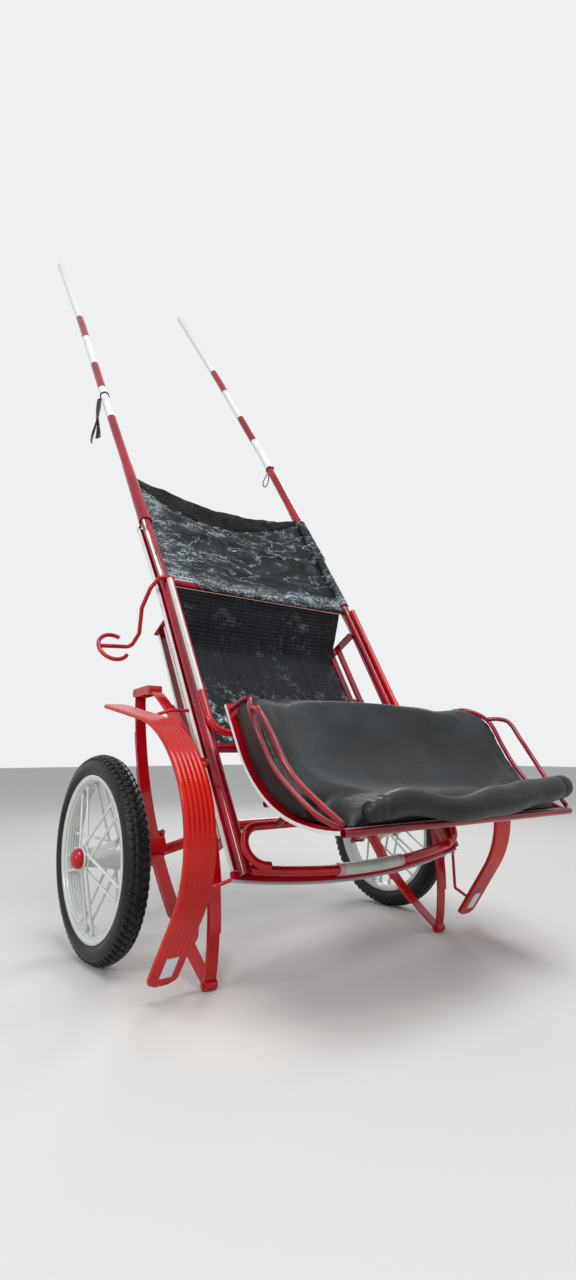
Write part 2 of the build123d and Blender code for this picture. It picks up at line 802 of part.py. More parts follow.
spring_x = spring_spacing / 2
leaf_half = leaf_width / 2
knuckle_half = knuckle_width / 2
pin_radius = pin_diameter / 2
for side, sign in sides:
    middle_x = sign * spring_x

    def eye(point, half_width, radius):
        return cylinder((middle_x - half_width, *point), (middle_x + half_width, *point), radius)

    for name, middle, front_eye in (
        ("lower", lower_middle, lower_front_eye),
        ("upper", upper_middle, upper_front_eye),
    ):
        low_x, high_x = middle_x - leaf_half, middle_x + leaf_half
        leaves = [side_view(face, low_x, high_x) for face in leaf_pack(middle, front_eye)]
        spring = leaves[0] + leaves[1:] + eye(front_eye, leaf_half, eye_radius)
        if name == "upper":
            knuckle_room = eye(rear_eye, knuckle_half, eye_radius + 2)
            spring = spring - (eye(rear_eye, leaf_width, eye_radius + 1) - knuckle_room)
            spring = spring + eye(rear_eye, knuckle_half, eye_radius)
        else:
            slot = knuckle_half + seat_gap
            spring = spring + eye(rear_eye, leaf_half, eye_radius) - eye(rear_eye, slot, eye_radius + 1)
        for point in (rear_eye, front_eye):
            spring = spring - eye(point, leaf_width, pin_radius + pin_clearance)
        parts[f"spring_{name}_{side}"] = spring
    plate_low = leaf_half + seat_gap
    plate_high = plate_low + shackle_thickness
    links = [eye(rear_eye, leaf_half + shackle_thickness, pin_radius)]
    pin_half = plate_high + shackle_pin_end
    shackle = [eye(point, pin_half, pin_radius) for point in (lower_front_eye, upper_front_eye)]
    span = math.dist(lower_front_eye, upper_front_eye)
    lean = bearing(lower_front_eye, upper_front_eye)
    link_middle = [(a + b) / 2 for a, b in zip(lower_front_eye, upper_front_eye)]
    plate_face = Pos(*link_middle) * SlotCenterToCenter(span, 2 * eye_radius, rotation=lean)
    for low in (middle_x - plate_high, middle_x + plate_low):
        shackle.append(side_view(plate_face, low, low + shackle_thickness))
    links.extend((shackle[0] + shackle[1:]).solids())
    parts[f"spring_links_{side}"] = Compound(links)

# Axle clamps and spring seats
axle_radius = axle_diameter / 2
lower_pack_top = lower_middle[1] + leaf_thickness / 2
lower_pack_bottom = lower_middle[1] - leaf_thickness / 2 - pack_depth
upper_pack_top = upper_middle[1] + leaf_thickness / 2 + pack_depth
upper_pack_bottom = upper_middle[1] - leaf_thickness / 2
bolt_radius = spring_bolt_diameter / 2
bolt_offset = leaf_half + bolt_radius + 1
plate_half = bolt_offset + bolt_radius + 2
axle_end = track / 2 - hub_inner_end - hub_side_gap
axle_route = (
    (-axle_end, 0, 0),
    (-axle_arch_foot, 0, 0),
    (-axle_arch_top, 0, axle_arch_rise),
    (axle_arch_top, 0, axle_arch_rise),
    (axle_arch_foot, 0, 0),
    (axle_end, 0, 0),
)
stub_end = track / 2 + hub_outer_end - stub_end_play
axle = bent_rod(axle_route, axle_radius, axle_bend)
for sign in (-1, 1):
    axle = axle + cylinder((sign * (axle_end - 10), 0, 0), (sign * stub_end, 0, 0), stub_diameter / 2)
parts["axle"] = axle


def clamp_bolts(x, y_middle, low, high):
    return [
        cylinder((x + dx, y_middle + dy, low), (x + dx, y_middle + dy, high), bolt_radius)
        for dx in (-bolt_offset, bolt_offset)
        for dy in (-spring_bolt_pitch / 2, spring_bolt_pitch / 2)
    ]


def slab(x, y_middle, low, high):
    reach = spring_bolt_pitch / 2 + bolt_radius + 3
    return box((x - plate_half, y_middle - reach, low), (x + plate_half, y_middle + reach, high))


for side, sign in sides:
    x = sign * spring_x
    axle_solid = cylinder((x - leaf_width * 2, 0, 0), (x + leaf_width * 2, 0, 0), axle_radius + weld_gap)
    spring_solid = parts[f"spring_lower_{side}"]
    saddle = slab(x, 0, 0, lower_pack_bottom + leaf_thickness) - axle_solid - spring_solid
    saddle = saddle.solids().sort_by(Axis.Z)[0]
    top_plate = slab(x, 0, lower_pack_top + 2, lower_pack_top + 2 + clamp_plate)
    low_plate = slab(x, 0, -axle_radius - weld_gap - clamp_plate, -axle_radius - weld_gap)
    bolt_low = -axle_radius - clamp_plate - 6
    bolt_high = lower_pack_top + 2 + clamp_plate + 8
    bolts = clamp_bolts(x, 0, bolt_low, bolt_high)
    clamp = low_plate + [saddle, top_plate] + bolts
    parts[f"axle_clamp_{side}"] = clamp - spring_solid

    seat_middle = upper_middle[0]
    spring_solid = parts[f"spring_upper_{side}"]
    seat_top = strip_low - weld_gap
    seat_plate = slab(x, seat_middle, upper_pack_top - leaf_thickness, seat_top)
    low_plate = slab(x, seat_middle, upper_pack_bottom - 2 - clamp_plate, upper_pack_bottom - 2)
    bolts = clamp_bolts(x, seat_middle, upper_pack_bottom - 2 - clamp_plate - 8, seat_top)
    seat = seat_plate + [low_plate] + bolts
    parts[f"spring_seat_{side}"] = seat - spring_solid

# Foot step: its rod is welded on top of the left shaft beside the crossbar
cx, cy, cz = step_centre
ring = Torus(step_ring_radius, step_rod / 2, major_angle=step_ring_sweep)
ring = Pos(cx, cy, cz) * Rot(0, 0, step_ring_start) * ring
rod_height = shaft_radius + step_rod / 2 + weld_gap
stem = bent_rod(
    (
        (20 - shaft_x, crossbar_reach - 5, crossbar_height + rod_height),
        (-shaft_x - 30, crossbar_reach - 9, crossbar_height + rod_height),
        (-shaft_x - 56, crossbar_reach - 34, crossbar_height - 8),
        (-shaft_x - 62, crossbar_reach - 62, crossbar_height - 82),
        (-shaft_x - 49, cy + 14, cz + 70),
        (-shaft_x - 52, cy + 8, cz),
        (cx - step_ring_radius, cy, cz),
    ),
    step_rod / 2,
    step_bend,
)
parts["step_left"] = ring + stem - shaft_solids["left"]

# Parking attitude
rear_y, rear_z = rear_eye
eye_angle = math.atan2(rear_z, rear_y)
tip_angle = 180 - math.degrees(
    math.asin((eye_radius - wheel_radius) / math.hypot(rear_y, rear_z)) + eye_angle
)

# The strap's two ends hang straight down from the shaft as it is parked.
down = Vector(0, -math.sin(math.radians(tip_angle)), -math.cos(math.radians(tip_angle)))
strap_middle = Vector(*shaft_point(-1, strap_reach))
along = (Vector(*shaft_point(-1, strap_reach + strap_width)) - strap_middle).normalized()
band_radius = shaft_radius + weld_gap + strap_thickness
band_start = strap_middle - along * (strap_width / 2)
band_end = strap_middle + along * (strap_width / 2)
band = cylinder(tuple(band_start), tuple(band_end), band_radius)
tail_plane = Plane(origin=strap_middle, x_dir=along, z_dir=down)
tail = extrude(tail_plane * Rectangle(strap_width, 2 * strap_thickness), strap_drop)
parts["shaft_strap"] = (band + tail) - front_solids["left"]

tipped = {name: Rot(tip_angle, 0, 0) * shape for name, shape in parts.items()}
boxes = [shape.bounding_box() for shape in tipped.values()]
middle_y = (min(b.min.Y for b in boxes) + max(b.max.Y for b in boxes)) / 2
os.makedirs("parts", exist_ok=True)
for name, shape in tipped.items():
    export_step(Pos(0, -middle_y, wheel_radius) * shape, f"parts/{name}.step")
print(len(parts), "parts, tipped back by", round(tip_angle, 2), "degrees, axle at y", round(-middle_y, 1))
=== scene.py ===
# %% [markdown]
# # A horse cart of welded steel tube
# The cart is parked on its tail, so its two long shafts point at the sky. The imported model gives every
# rigid piece at its real size. This lesson dresses it: paint with worn edges, rubber with tread blocks,
# padded vinyl, a crinkled tarpaulin and a woven floor net. Each step first says what the real thing is
# and why it is made in this way.

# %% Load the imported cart
import json
import math

import bmesh
import bpy
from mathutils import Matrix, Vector, noise


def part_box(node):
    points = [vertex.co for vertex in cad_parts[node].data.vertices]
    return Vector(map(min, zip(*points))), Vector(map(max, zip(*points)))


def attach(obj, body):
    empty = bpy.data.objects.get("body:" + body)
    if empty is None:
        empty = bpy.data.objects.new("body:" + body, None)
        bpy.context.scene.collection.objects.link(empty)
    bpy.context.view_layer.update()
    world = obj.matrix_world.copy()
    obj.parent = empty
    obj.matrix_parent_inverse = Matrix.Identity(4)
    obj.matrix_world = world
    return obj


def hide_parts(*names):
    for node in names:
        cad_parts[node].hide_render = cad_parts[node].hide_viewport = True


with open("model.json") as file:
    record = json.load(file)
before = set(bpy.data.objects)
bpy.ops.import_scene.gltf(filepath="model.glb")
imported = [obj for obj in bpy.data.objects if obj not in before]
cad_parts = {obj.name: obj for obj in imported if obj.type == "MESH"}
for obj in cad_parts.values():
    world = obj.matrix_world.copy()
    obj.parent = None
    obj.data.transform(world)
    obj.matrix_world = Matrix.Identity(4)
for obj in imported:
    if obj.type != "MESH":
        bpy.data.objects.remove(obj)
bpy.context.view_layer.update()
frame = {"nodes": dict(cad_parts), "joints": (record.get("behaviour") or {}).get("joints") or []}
nodes = frame["nodes"]
sides = (("left", -1), ("right", 1))

# %% [markdown]
# ## Places on a tipped cart
# The cart was drawn level and then tipped back, so a level drawing is still the easiest way to say where
# something is: so far to the right, so far forward along the shafts and so high above the axle. The
# direction forward runs from the tail tube to the cross tube, which lie at one height on the frame.

# %% From a level drawing to the tipped cart
def centre_of(node):
    low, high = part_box(node)
    return (low + high) / 2


hinges = {joint["child"]: Vector(joint["pos_m"]) for joint in frame["joints"]}
axle = (hinges["wheel_left"] + hinges["wheel_right"]) / 2
run = centre_of("frame_cross_tube") - centre_of("tail_tube")
forward = Vector((0, run.y, run.z)).normalized()
lift = Vector((0, -forward.z, forward.y))
tip_turn = math.asin(forward.z)


def at(x, reach, height):
    return axle + Vector((x, 0, 0)) + forward * reach + lift * height


print("axle at", [round(c, 3) for c in axle], "tipped by", round(math.degrees(tip_turn), 2), "degrees")

# %% [markdown]
# ## The camera
# The photograph was taken from knee height, close to the tail and to the left, with a wide lens that
# looks up along the shafts. The place was worked out from the wheels and the frame's corners. The camera
# comes first, because every later choice is judged through it.

# %% The camera
def placed(name, data):
    """A new object in the scene that shows this mesh, lamp or camera."""
    made = bpy.data.objects.new(name, data)
    bpy.context.scene.collection.objects.link(made)
    return made


camera_place = Vector((-1.404, -2.226, 0.610))
camera_turn = (math.radians(99.7), 0, math.radians(-37.6))
camera = placed("camera", bpy.data.cameras.new("camera"))
camera.data.sensor_width = 36
camera.data.lens = 18.35
camera.location = camera_place
camera.rotation_euler = camera_turn
bpy.context.scene.camera = camera
print("camera", [round(c, 2) for c in camera_place], "lens", round(camera.data.lens, 2), "mm")

# %% [markdown]
# ## Shader maths as plain arithmetic
# Wear, dust and painted bands are sums and products of masks. Joining Math nodes by hand hides such a
# formula, so a small class wraps a socket and gives it Python's operators: `1 - mask` adds the node that
# does it. A second class holds a node tree and makes any other node from its type, settings and inputs.

# %% A wire that can be added and multiplied
class Wire:
    """One output socket in a tree, with arithmetic that adds the Math node for it."""

    def __init__(self, graph, socket):
        self.graph = graph
        self.socket = socket

    def maths(self, operation, *others):
        inputs = dict(enumerate((self,) + others))
        return self.graph.wire(self.graph.node("ShaderNodeMath", {"operation": operation}, inputs))

    def __add__(self, other):
        return self.maths("ADD", other)

    def __sub__(self, other):
        return self.maths("SUBTRACT", other)

    def __rsub__(self, other):
        return self.maths("MULTIPLY", -1).maths("ADD", other)

    def __mul__(self, other):
        return self.maths("MULTIPLY", other)

    def __truediv__(self, other):
        return self.maths("DIVIDE", other)

    def __gt__(self, other):
        return self.maths("GREATER_THAN", other)

    def __lt__(self, other):
        return self.maths("LESS_THAN", other)

    __radd__ = __add__
    __rmul__ = __mul__


# %% A tree that is written node by node
class Graph:
    """The tree of a material or of the world, or a Geometry Nodes group.

    One method makes every node from its type, its settings, which are set first, and its inputs, each a
    value or a wire.
    """

    def __init__(self, tree):
        self.tree = tree

    def node(self, kind, settings=None, inputs=None):
        made = self.tree.nodes.new(kind)
        for name, value in (settings or {}).items():
            setattr(made, name, value)
        for name, value in (inputs or {}).items():
            if isinstance(value, Wire):
                self.tree.links.new(value.socket, made.inputs[name])
            else:
                made.inputs[name].default_value = value
        return made

    def wire(self, node, output=0):
        return Wire(self, node.outputs[output])


# %% Colours are given as a screen shows them
def rgb(red, green, blue):
    def linear(value):
        share = value / 255
        return share / 12.92 if share <= 0.04045 else ((share + 0.055) / 1.055) ** 2.4

    return (linear(red), linear(green), linear(blue), 1)


# %% A finish: a material with its shader, and the helpers that every finish needs
class Finish(Graph):
    """A material whose varying sockets are fed by wires and whose other sockets are plain numbers."""

    def __init__(self, name, **constants):
        self.material = bpy.data.materials.new(name)
        self.material.use_nodes = True
        super().__init__(self.material.node_tree)
        self.tree.nodes.clear()
        plain = {key.replace("_", " "): value for key, value in constants.items()}
        self.shader = self.node("ShaderNodeBsdfPrincipled", {}, plain)
        output = self.node("ShaderNodeOutputMaterial")
        self.tree.links.new(self.shader.outputs["BSDF"], output.inputs["Surface"])
        self.place = self.wire(self.node("ShaderNodeTexCoord"), "Object")

    def feed(self, socket, wire):
        self.tree.links.new(wire.socket, self.shader.inputs[socket])

    def scaled(self, stretch):
        mapping = self.node("ShaderNodeMapping", {}, {"Vector": self.place, "Scale": stretch})
        return self.wire(mapping)

    def noise(self, scale, detail=3.0, rough=0.55, stretch=(1, 1, 1)):
        inputs = {"Vector": self.scaled(stretch), "Scale": scale, "Detail": detail, "Roughness": rough}
        return self.wire(self.node("ShaderNodeTexNoise", {}, inputs))

    def cells(self, scale, feature="F1", stretch=(1, 1, 1), randomness=1.0):
        inputs = {"Vector": self.scaled(stretch), "Scale": scale, "Randomness": randomness}
        return self.wire(self.node("ShaderNodeTexVoronoi", {"feature": feature}, inputs), "Distance")

    def ease(self, value, low, high):
        settings = {"interpolation_type": "SMOOTHSTEP"}
        inputs = {"Value": value, "From Min": low, "From Max": high}
        return self.wire(self.node("ShaderNodeMapRange", settings, inputs))

    def mix(self, share, first, second):
        inputs = {0: share, 6: first, 7: second}
        return self.wire(self.node("ShaderNodeMix", {"data_type": "RGBA"}, inputs), 2)

    def dot(self, vector, direction):
        settings = {"operation": "DOT_PRODUCT"}
        return self.wire(self.node("ShaderNodeVectorMath", settings, {0: vector, 1: direction}), "Value")

    def along(self, direction, origin):
        settings = {"operation": "SUBTRACT"}
        offset = self.node("ShaderNodeVectorMath", settings, {0: self.place, 1: origin})
        return self.dot(self.wire(offset), direction)

    def facing(self, direction):
        return self.dot(self.wire(self.node("ShaderNodeNewGeometry"), "Normal"), direction)

    def inside(self, value, low, high, soft):
        return self.ease(value, low - soft, low + soft) * (1 - self.ease(value, high - soft, high + soft))

    def bump(self, height, strength, distance):
        inputs = {"Height": height, "Strength": strength, "Distance": distance}
        self.feed("Normal", self.wire(self.node("ShaderNodeBump", {}, inputs)))


print("colours are written from 0 to 255, so a middle grey is", [round(c, 3) for c in rgb(128, 128, 128)])

# %% [markdown]
# ## Floor, world and lamps
# Outdoors under a tree the light is soft and comes mostly from above and in front. A pale floor, a pale
# world and three large lamps do the same. The camera, mirrors and glass see a brighter world than the
# one that lights the cart, so the background is pale and the paint keeps its own colour.

# %% A pale floor
floor_reach = 24
floor_finish = Finish("pale floor", Base_Color=(0.70, 0.69, 0.67, 1), Roughness=0.85)
floor_corners = [Vector((x, y, 0)) * floor_reach for x, y in ((-1, -1), (1, -1), (1, 1), (-1, 1))]
floor_mesh = bpy.data.meshes.new("floor")
floor_mesh.from_pydata(floor_corners, [], [(0, 1, 2, 3)])
floor_mesh.materials.append(floor_finish.material)
placed("floor", floor_mesh)
print("the floor reaches", floor_reach, "m each way")

# %% The world, brighter to the camera and to mirrors
light_strength = 0.50
backdrop_strength = 1
world = bpy.data.worlds.new("pale world")
bpy.context.scene.world = world
world.use_nodes = True
world.node_tree.nodes.clear()
sky = Graph(world.node_tree)
light_path = sky.node("ShaderNodeLightPath")
camera_ray, glossy_ray, glass_ray = (
    sky.wire(light_path, f"Is {kind} Ray") for kind in ("Camera", "Glossy", "Transmission")
)
seen = camera_ray.maths("MAXIMUM", glossy_ray).maths("MAXIMUM", glass_ray)
lighting = {"Color": (0.93, 0.97, 1.0, 1), "Strength": light_strength}
backdrop = {"Color": (0.86, 0.87, 0.88, 1), "Strength": backdrop_strength}
lit, shown = (sky.wire(sky.node("ShaderNodeBackground", {}, look)) for look in (lighting, backdrop))
blend = sky.node("ShaderNodeMixShader", {}, {"Fac": seen, 1: lit, 2: shown})
sky.node("ShaderNodeOutputWorld", {}, {"Surface": sky.wire(blend)})
print("the world lights at", light_strength, "and shows at", backdrop_strength)

# %% Three soft lamps
lamps = (
    ("lamp above", (-0.6, -2.2, 4.6), 2.4, 120),
    ("lamp left", (-4.2, -1.8, 2.4), 0.9, 60),
    ("lamp behind", (3.0, 2.6, 3.4), 1.6, 60),
)
for name, place, size, watts in lamps:
    light = bpy.data.lights.new(name, "AREA")
    light.size = size
    light.energy = watts
    lamp = placed(name, light)
    lamp.location = place
    aim = centre_of("seat_board") - Vector(place)
    lamp.rotation_euler = aim.to_track_quat("-Z", "Y").to_euler()
bpy.context.scene.view_settings.view_transform = "Standard"
print("lamps of", [watts for *_, watts in lamps], "watts")

# %% [markdown]
# ## Brushed gloss paint, red with white lines
# The frame was painted by hand: a deep crimson gloss over old welds, with white on the outer edges and in
# bands on the shafts. Thick paint rounds every weld, catches sharp lights and holds a little dust. One
# function makes every painted finish, and it takes a mask of where a second colour goes.

# %% Red gloss with an optional second colour
crimson = rgb(164, 4, 30)
crimson_dark = rgb(128, 2, 24)
paint_white = rgb(222, 226, 222)
dust_colour = rgb(150, 132, 112)


def painted(name, colour, dark, second_part=None, second=paint_white, dust=0.2, coat=0.5):
    """Gloss paint of two tones; second_part is a mask of where the second colour goes."""
    finish = Finish(name, Coat_Roughness=0.04, Specular_IOR_Level=0.2)
    patches = finish.ease(finish.noise(5, 2), 0.35, 0.75)
    tone = finish.mix(patches, dark, colour)
    if second_part:
        stained = finish.mix(finish.ease(finish.noise(26, 5), 0.5, 0.8) * 0.3, second, dust_colour)
        tone = finish.mix(second_part(finish), tone, stained)
    top = finish.ease(finish.facing((0, 0, 1)), 0.2, 1.0)
    grime = finish.ease(finish.noise(38, 6, 0.7), 0.55, 0.8) * (0.2 + top * 0.8) * dust
    finish.feed("Base Color", finish.mix(grime, tone, dust_colour))
    finish.feed("Roughness", 0.16 + finish.noise(55, 3, 0.6) * 0.1 + grime * 0.5)
    finish.feed("Coat Weight", coat - grime * 0.4)
    finish.bump(finish.noise(60, 2) + finish.noise(18, 2) * 1.5, 0.18, 0.0014)
    return finish.material


red_paint = painted("crimson gloss", crimson, crimson_dark)
print("first finish has", len(red_paint.node_tree.nodes), "nodes")

# %% [markdown]
# ## Where the white lines run
# The maker picked out the edges that face outwards, so white follows a place on the cart and not a piece.
# Each line is a mask in the level drawing: how far from the middle, how far forward or how high.

# %% Places of the white lines
frame_height = (centre_of("tail_tube") - axle).dot(lift)
shaft_x = 0.418
shaft_bands = ((1.773, 2.012), (2.234, 2.505), (2.727, 4.0))
band_softness = 0.002
stripe_ends = (0.788, 1.084)
stripe_level_end = 0.720
stripe_slope = 0.062
stripe_edge = (0.0171, 0.0176)
edge_depth = 0.0012
strip_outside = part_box("edge_strip_right")[1].x
strip_edge_depth = 0.0065
bar_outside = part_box("seat_side_bar_right")[1].x
rail_outside = 0.4035
rail_ends = (-0.118, 0.651)
tail_curve_centre = 2.0449
tail_strip_outside = 2.3449
tail_edge_depth = 0.0050
print("white bands run along the shafts at", shaft_bands, "m from the axle")

# %% Places of the line on the rod, the bare bolts and the tape
rod_height = frame_height + 0.0296
rod_white = (0.300, 0.756)
rod_line_edge = (0.0015, 0.0030)
bolt_top = frame_height - 0.049
tape_middle = 0.020
tape_ends = (0.118, 0.126)
print("the frame's tubes lie", round(frame_height, 3), "m above the axle")


# %% The three measures of a place on the cart, and a line's wander
def sideways(finish):
    return finish.along((1, 0, 0), tuple(axle))


def across(finish):
    return sideways(finish).maths("ABSOLUTE")


def distance_forward(finish):
    return finish.along(tuple(forward), tuple(axle))


def height_above_axle(finish):
    return finish.along(tuple(lift), tuple(axle))


def wander(finish, scale, size):
    """How far a line that is painted by hand strays from its place."""
    return (finish.noise(scale, 2) - 0.5) * size


# %% Masks for bands, edges and stripes
def banded(finish):
    reach = distance_forward(finish) + wander(finish, 40, 0.002)
    return sum(finish.inside(reach, low, high, band_softness) for low, high in shaft_bands)


def outer_edge(outside, depth=edge_depth):
    def mask(finish):
        return (across(finish) + wander(finish, 30, 0.0012)) > outside - depth

    return mask


def rail_edge(finish):
    face = finish.inside(across(finish), rail_outside - edge_depth, rail_outside + edge_depth, 0.0002)
    return face * finish.inside(distance_forward(finish), *rail_ends, 0.001)


def tail_edge(finish):
    along_cart = distance_forward(finish) - tail_curve_centre
    from_centre = (across(finish) * across(finish) + along_cart * along_cart).maths("SQRT")
    return from_centre > tail_strip_outside - tail_edge_depth


def shaft_stripe(finish):
    """A line on the upper outer side of the rear shafts, which sink a little towards the front."""
    reach = distance_forward(finish)
    outwards = across(finish) - shaft_x
    upwards = height_above_axle(finish) - frame_height + (reach - stripe_level_end) * stripe_slope
    slanted = outwards * 0.82 + upwards * 0.57 + wander(finish, 24, 0.003)
    return finish.inside(reach, *stripe_ends, 0.002) * finish.ease(slanted, *stripe_edge)


# %% Masks for the rod, the bare bolts and the tape
def rod_outside(finish):
    outwards = across(finish) - shaft_x
    upwards = height_above_axle(finish) - rod_height + wander(finish, 24, 0.006)
    reach = distance_forward(finish) + wander(finish, 30, 0.008)
    return finish.inside(reach, *rod_white, 0.004) * finish.ease(outwards + upwards * 0.2, *rod_line_edge)


def bolt_below(finish):
    return height_above_axle(finish) < bolt_top


def pink_ends(finish):
    from_middle = (sideways(finish) - tape_middle).maths("ABSOLUTE")
    return finish.ease(from_middle + finish.noise(30, 3) * 0.02, *tape_ends)


# %% The red finishes
bright_red = rgb(200, 6, 18)
crimsons = (crimson, crimson_dark)
bright_reds = (bright_red, rgb(172, 3, 18))
strip_edge = outer_edge(strip_outside, strip_edge_depth)
shaft_paint = painted("crimson gloss with a white stripe", *crimsons, shaft_stripe)
banded_paint = painted("crimson gloss with white bands", *crimsons, banded)
strip_paint = painted("crimson strip with a white edge", *crimsons, strip_edge)
rail_paint = painted("crimson rail with a white edge", *crimsons, rail_edge)
socket_paint = painted("crimson socket with a bare bolt", *crimsons, bolt_below, rgb(58, 46, 46))
tail_paint = painted("red strip with a lilac edge", bright_red, crimson, tail_edge, rgb(176, 170, 178))
rod_paint = painted("bright red rod with a white line", *bright_reds, rod_outside, rgb(196, 198, 194))
bright_paint = painted("bright red gloss", *bright_reds)
rod_red = painted("raspberry red rods", rgb(158, 6, 32), rgb(122, 4, 26))
fender_reds = (rgb(206, 24, 10), rgb(184, 14, 8))
fender_paint = painted("orange red gloss", *fender_reds, dust=0.08, coat=0.25)
print(len(bpy.data.materials), "materials so far")

# %% The white finishes
tape_greys = (rgb(214, 215, 210), rgb(198, 199, 194))
white_paint = painted("white gloss", paint_white, rgb(204, 210, 206), dust=0.25)
sleeve_paint = painted("grey tape with pink ends", *tape_greys, pink_ends, rgb(206, 168, 170))
print(len(bpy.data.materials), "materials so far")

# %% [markdown]
# ## Rubber
# Old road rubber is never black. It is a dark grey that dust turns brown in the grooves and on the sides,
# and it has no coat, only a broad soft shine.

# %% Rubber
rubber_dark = rgb(17, 17, 20)
rubber_dusty = rgb(58, 53, 50)


def make_rubber():
    finish = Finish("tyre rubber", Specular_IOR_Level=0.3)
    dust = finish.ease(finish.noise(24, 6, 0.65), 0.5, 0.8)
    grain = finish.noise(260, 3, 0.6)
    finish.feed("Base Color", finish.mix(dust * 0.55, rubber_dark, rubber_dusty))
    finish.feed("Roughness", 0.36 + dust * 0.3 + grain * 0.1)
    finish.bump(grain, 0.25, 0.0008)
    return finish.material


rubber = make_rubber()
print(rubber.name, "has", len(rubber.node_tree.nodes), "nodes")

# %% [markdown]
# ## Building a piece
# Every piece made here is a mesh whose place is in its points, with its object at the origin. Small
# functions make a mesh with its faces outwards, join meshes, give them an object and a finish, and let it
# ride on a body of the cart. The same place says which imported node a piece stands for.

# %% From points and faces to a mesh
def new_mesh(name, points, faces):
    """A mesh with its doubled points merged and its faces outwards."""
    mesh = bpy.data.meshes.new(name)
    mesh.from_pydata([tuple(p) for p in points], [], faces)
    shape = bmesh.new()
    shape.from_mesh(mesh)
    bmesh.ops.remove_doubles(shape, verts=shape.verts, dist=1e-6)
    bmesh.ops.recalc_face_normals(shape, faces=shape.faces)
    shape.to_mesh(mesh)
    shape.free()
    return mesh


def joined(name, parts):
    """One mesh made of several."""
    shape = bmesh.new()
    for part in parts:
        shape.from_mesh(part)
    mesh = bpy.data.meshes.new(name)
    shape.to_mesh(mesh)
    shape.free()
    return mesh


# %% From a mesh to a piece that rides on the cart
def new_object(name, mesh, material, smooth=True):
    piece = placed(name, mesh)
    mesh.materials.clear()
    mesh.materials.append(material)
    for face in mesh.polygons:
        face.use_smooth = smooth
    return piece


def thicken(piece, thickness, offset=0):
    sheet = piece.modifiers.new("sheet", "SOLIDIFY")
    sheet.thickness = thickness
    sheet.offset = offset


def smooth_once(piece):
    smoother = piece.modifiers.new("smooth", "SUBSURF")
    smoother.levels = smoother.render_levels = 1


def fit(piece, body="frame", stands_for=()):
    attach(piece, body)
    if stands_for:
        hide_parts(*stands_for)
    print(piece.name, "rides on", body, "with", len(piece.data.polygons), "faces")


# %% Rows of points joined into a skin
def skin(rows, around=False, across_ends=False, capped=False):
    """Points and faces of the skin between rows of points.

    around joins the last row to the first, across_ends closes each row, and capped puts a face on the
    first row and one on the last.
    """
    count = len(rows[0])
    points = [point for row in rows for point in row]
    faces = []
    for row in range(len(rows) if around else len(rows) - 1):
        here, below = row * count, (row + 1) % len(rows) * count
        for column in range(count if across_ends else count - 1):
            beside = (column + 1) % count
            faces.append((here + column, here + beside, below + beside, below + column))
    if capped:
        faces += [tuple(range(count)), tuple(range(len(points) - count, len(points)))]
    return points, faces


# %% A smooth path through a few points
def between(t, a, b, c, d):
    """The value at a share t of the way from b to c, on the curve that comes from a and goes on to d."""
    bend = (2 * a - 5 * b + 4 * c - d) * t * t + (3 * b - a - 3 * c + d) * t**3
    return 0.5 * (2 * b + (c - a) * t + bend)


def smooth_path(points, steps):
    """Points on a Catmull-Rom curve through the given ones."""
    last = len(points) - 1
    made = []
    for span in range(last):
        four = [points[min(max(span + k, 0), last)] for k in (-1, 0, 1, 2)]
        for step in range(steps):
            made.append(tuple(between(step / steps, *values) for values in zip(*four)))
    return made + [tuple(points[-1])]


# %% A tube along a path
def tube(path, radius, segments=12):
    """A round tube with closed ends, of one radius or of one radius for each point."""
    path = [Vector(p) for p in path]
    radii = radius if isinstance(radius, (list, tuple)) else [radius] * len(path)
    turns = [math.tau * k / segments for k in range(segments)]
    rows = []
    side = None
    for number, point in enumerate(path):
        ahead = path[min(number + 1, len(path) - 1)] - path[max(number - 1, 0)]
        ahead.normalize()
        if side is None:
            side = ahead.orthogonal().normalized()
        side = (side - ahead * side.dot(ahead)).normalized()
        other = ahead.cross(side)
        rows.append([point + (side * math.cos(t) + other * math.sin(t)) * radii[number] for t in turns])
    return skin(rows, across_ends=True, capped=True)


# %% A turned shape round a wheel's axis
def turned(outline, centre, steps=120):
    """A closed outline of places along the axle and radii, turned about x."""
    rows = []
    for step in range(steps):
        turn = math.tau * step / steps
        cosine, sine = math.cos(turn), math.sin(turn)
        rows.append([centre + Vector((station, r * cosine, r * sine)) for station, r in outline])
    return skin(rows, around=True, across_ends=True)


# %% [markdown]
# ## Tyres
# The tyre is a round carcass that swells past the rim, with four rows of small slanted blocks. The
# carcass is a turned outline. The blocks are a row copied round a circle, which is what Geometry Nodes do
# best: one tree takes the block, the count, the radius and the centre, and serves the spokes as well.

# %% What every copying tree has: named inputs, and real copies with a finish
def started_tree(name, **kinds):
    """A tree with these inputs, as a graph, and a wire from each of them."""
    kinds = {"Geometry": "Geometry", "Template": "Object", "Finish": "Material", **kinds}
    group = bpy.data.node_groups.new(name, "GeometryNodeTree")
    for label, kind in kinds.items():
        group.interface.new_socket(label, in_out="INPUT", socket_type="NodeSocket" + kind)
    group.interface.new_socket("Geometry", in_out="OUTPUT", socket_type="NodeSocketGeometry")
    graph = Graph(group)
    inputs = graph.node("NodeGroupInput")
    return graph, {label: graph.wire(inputs, label) for label in kinds}


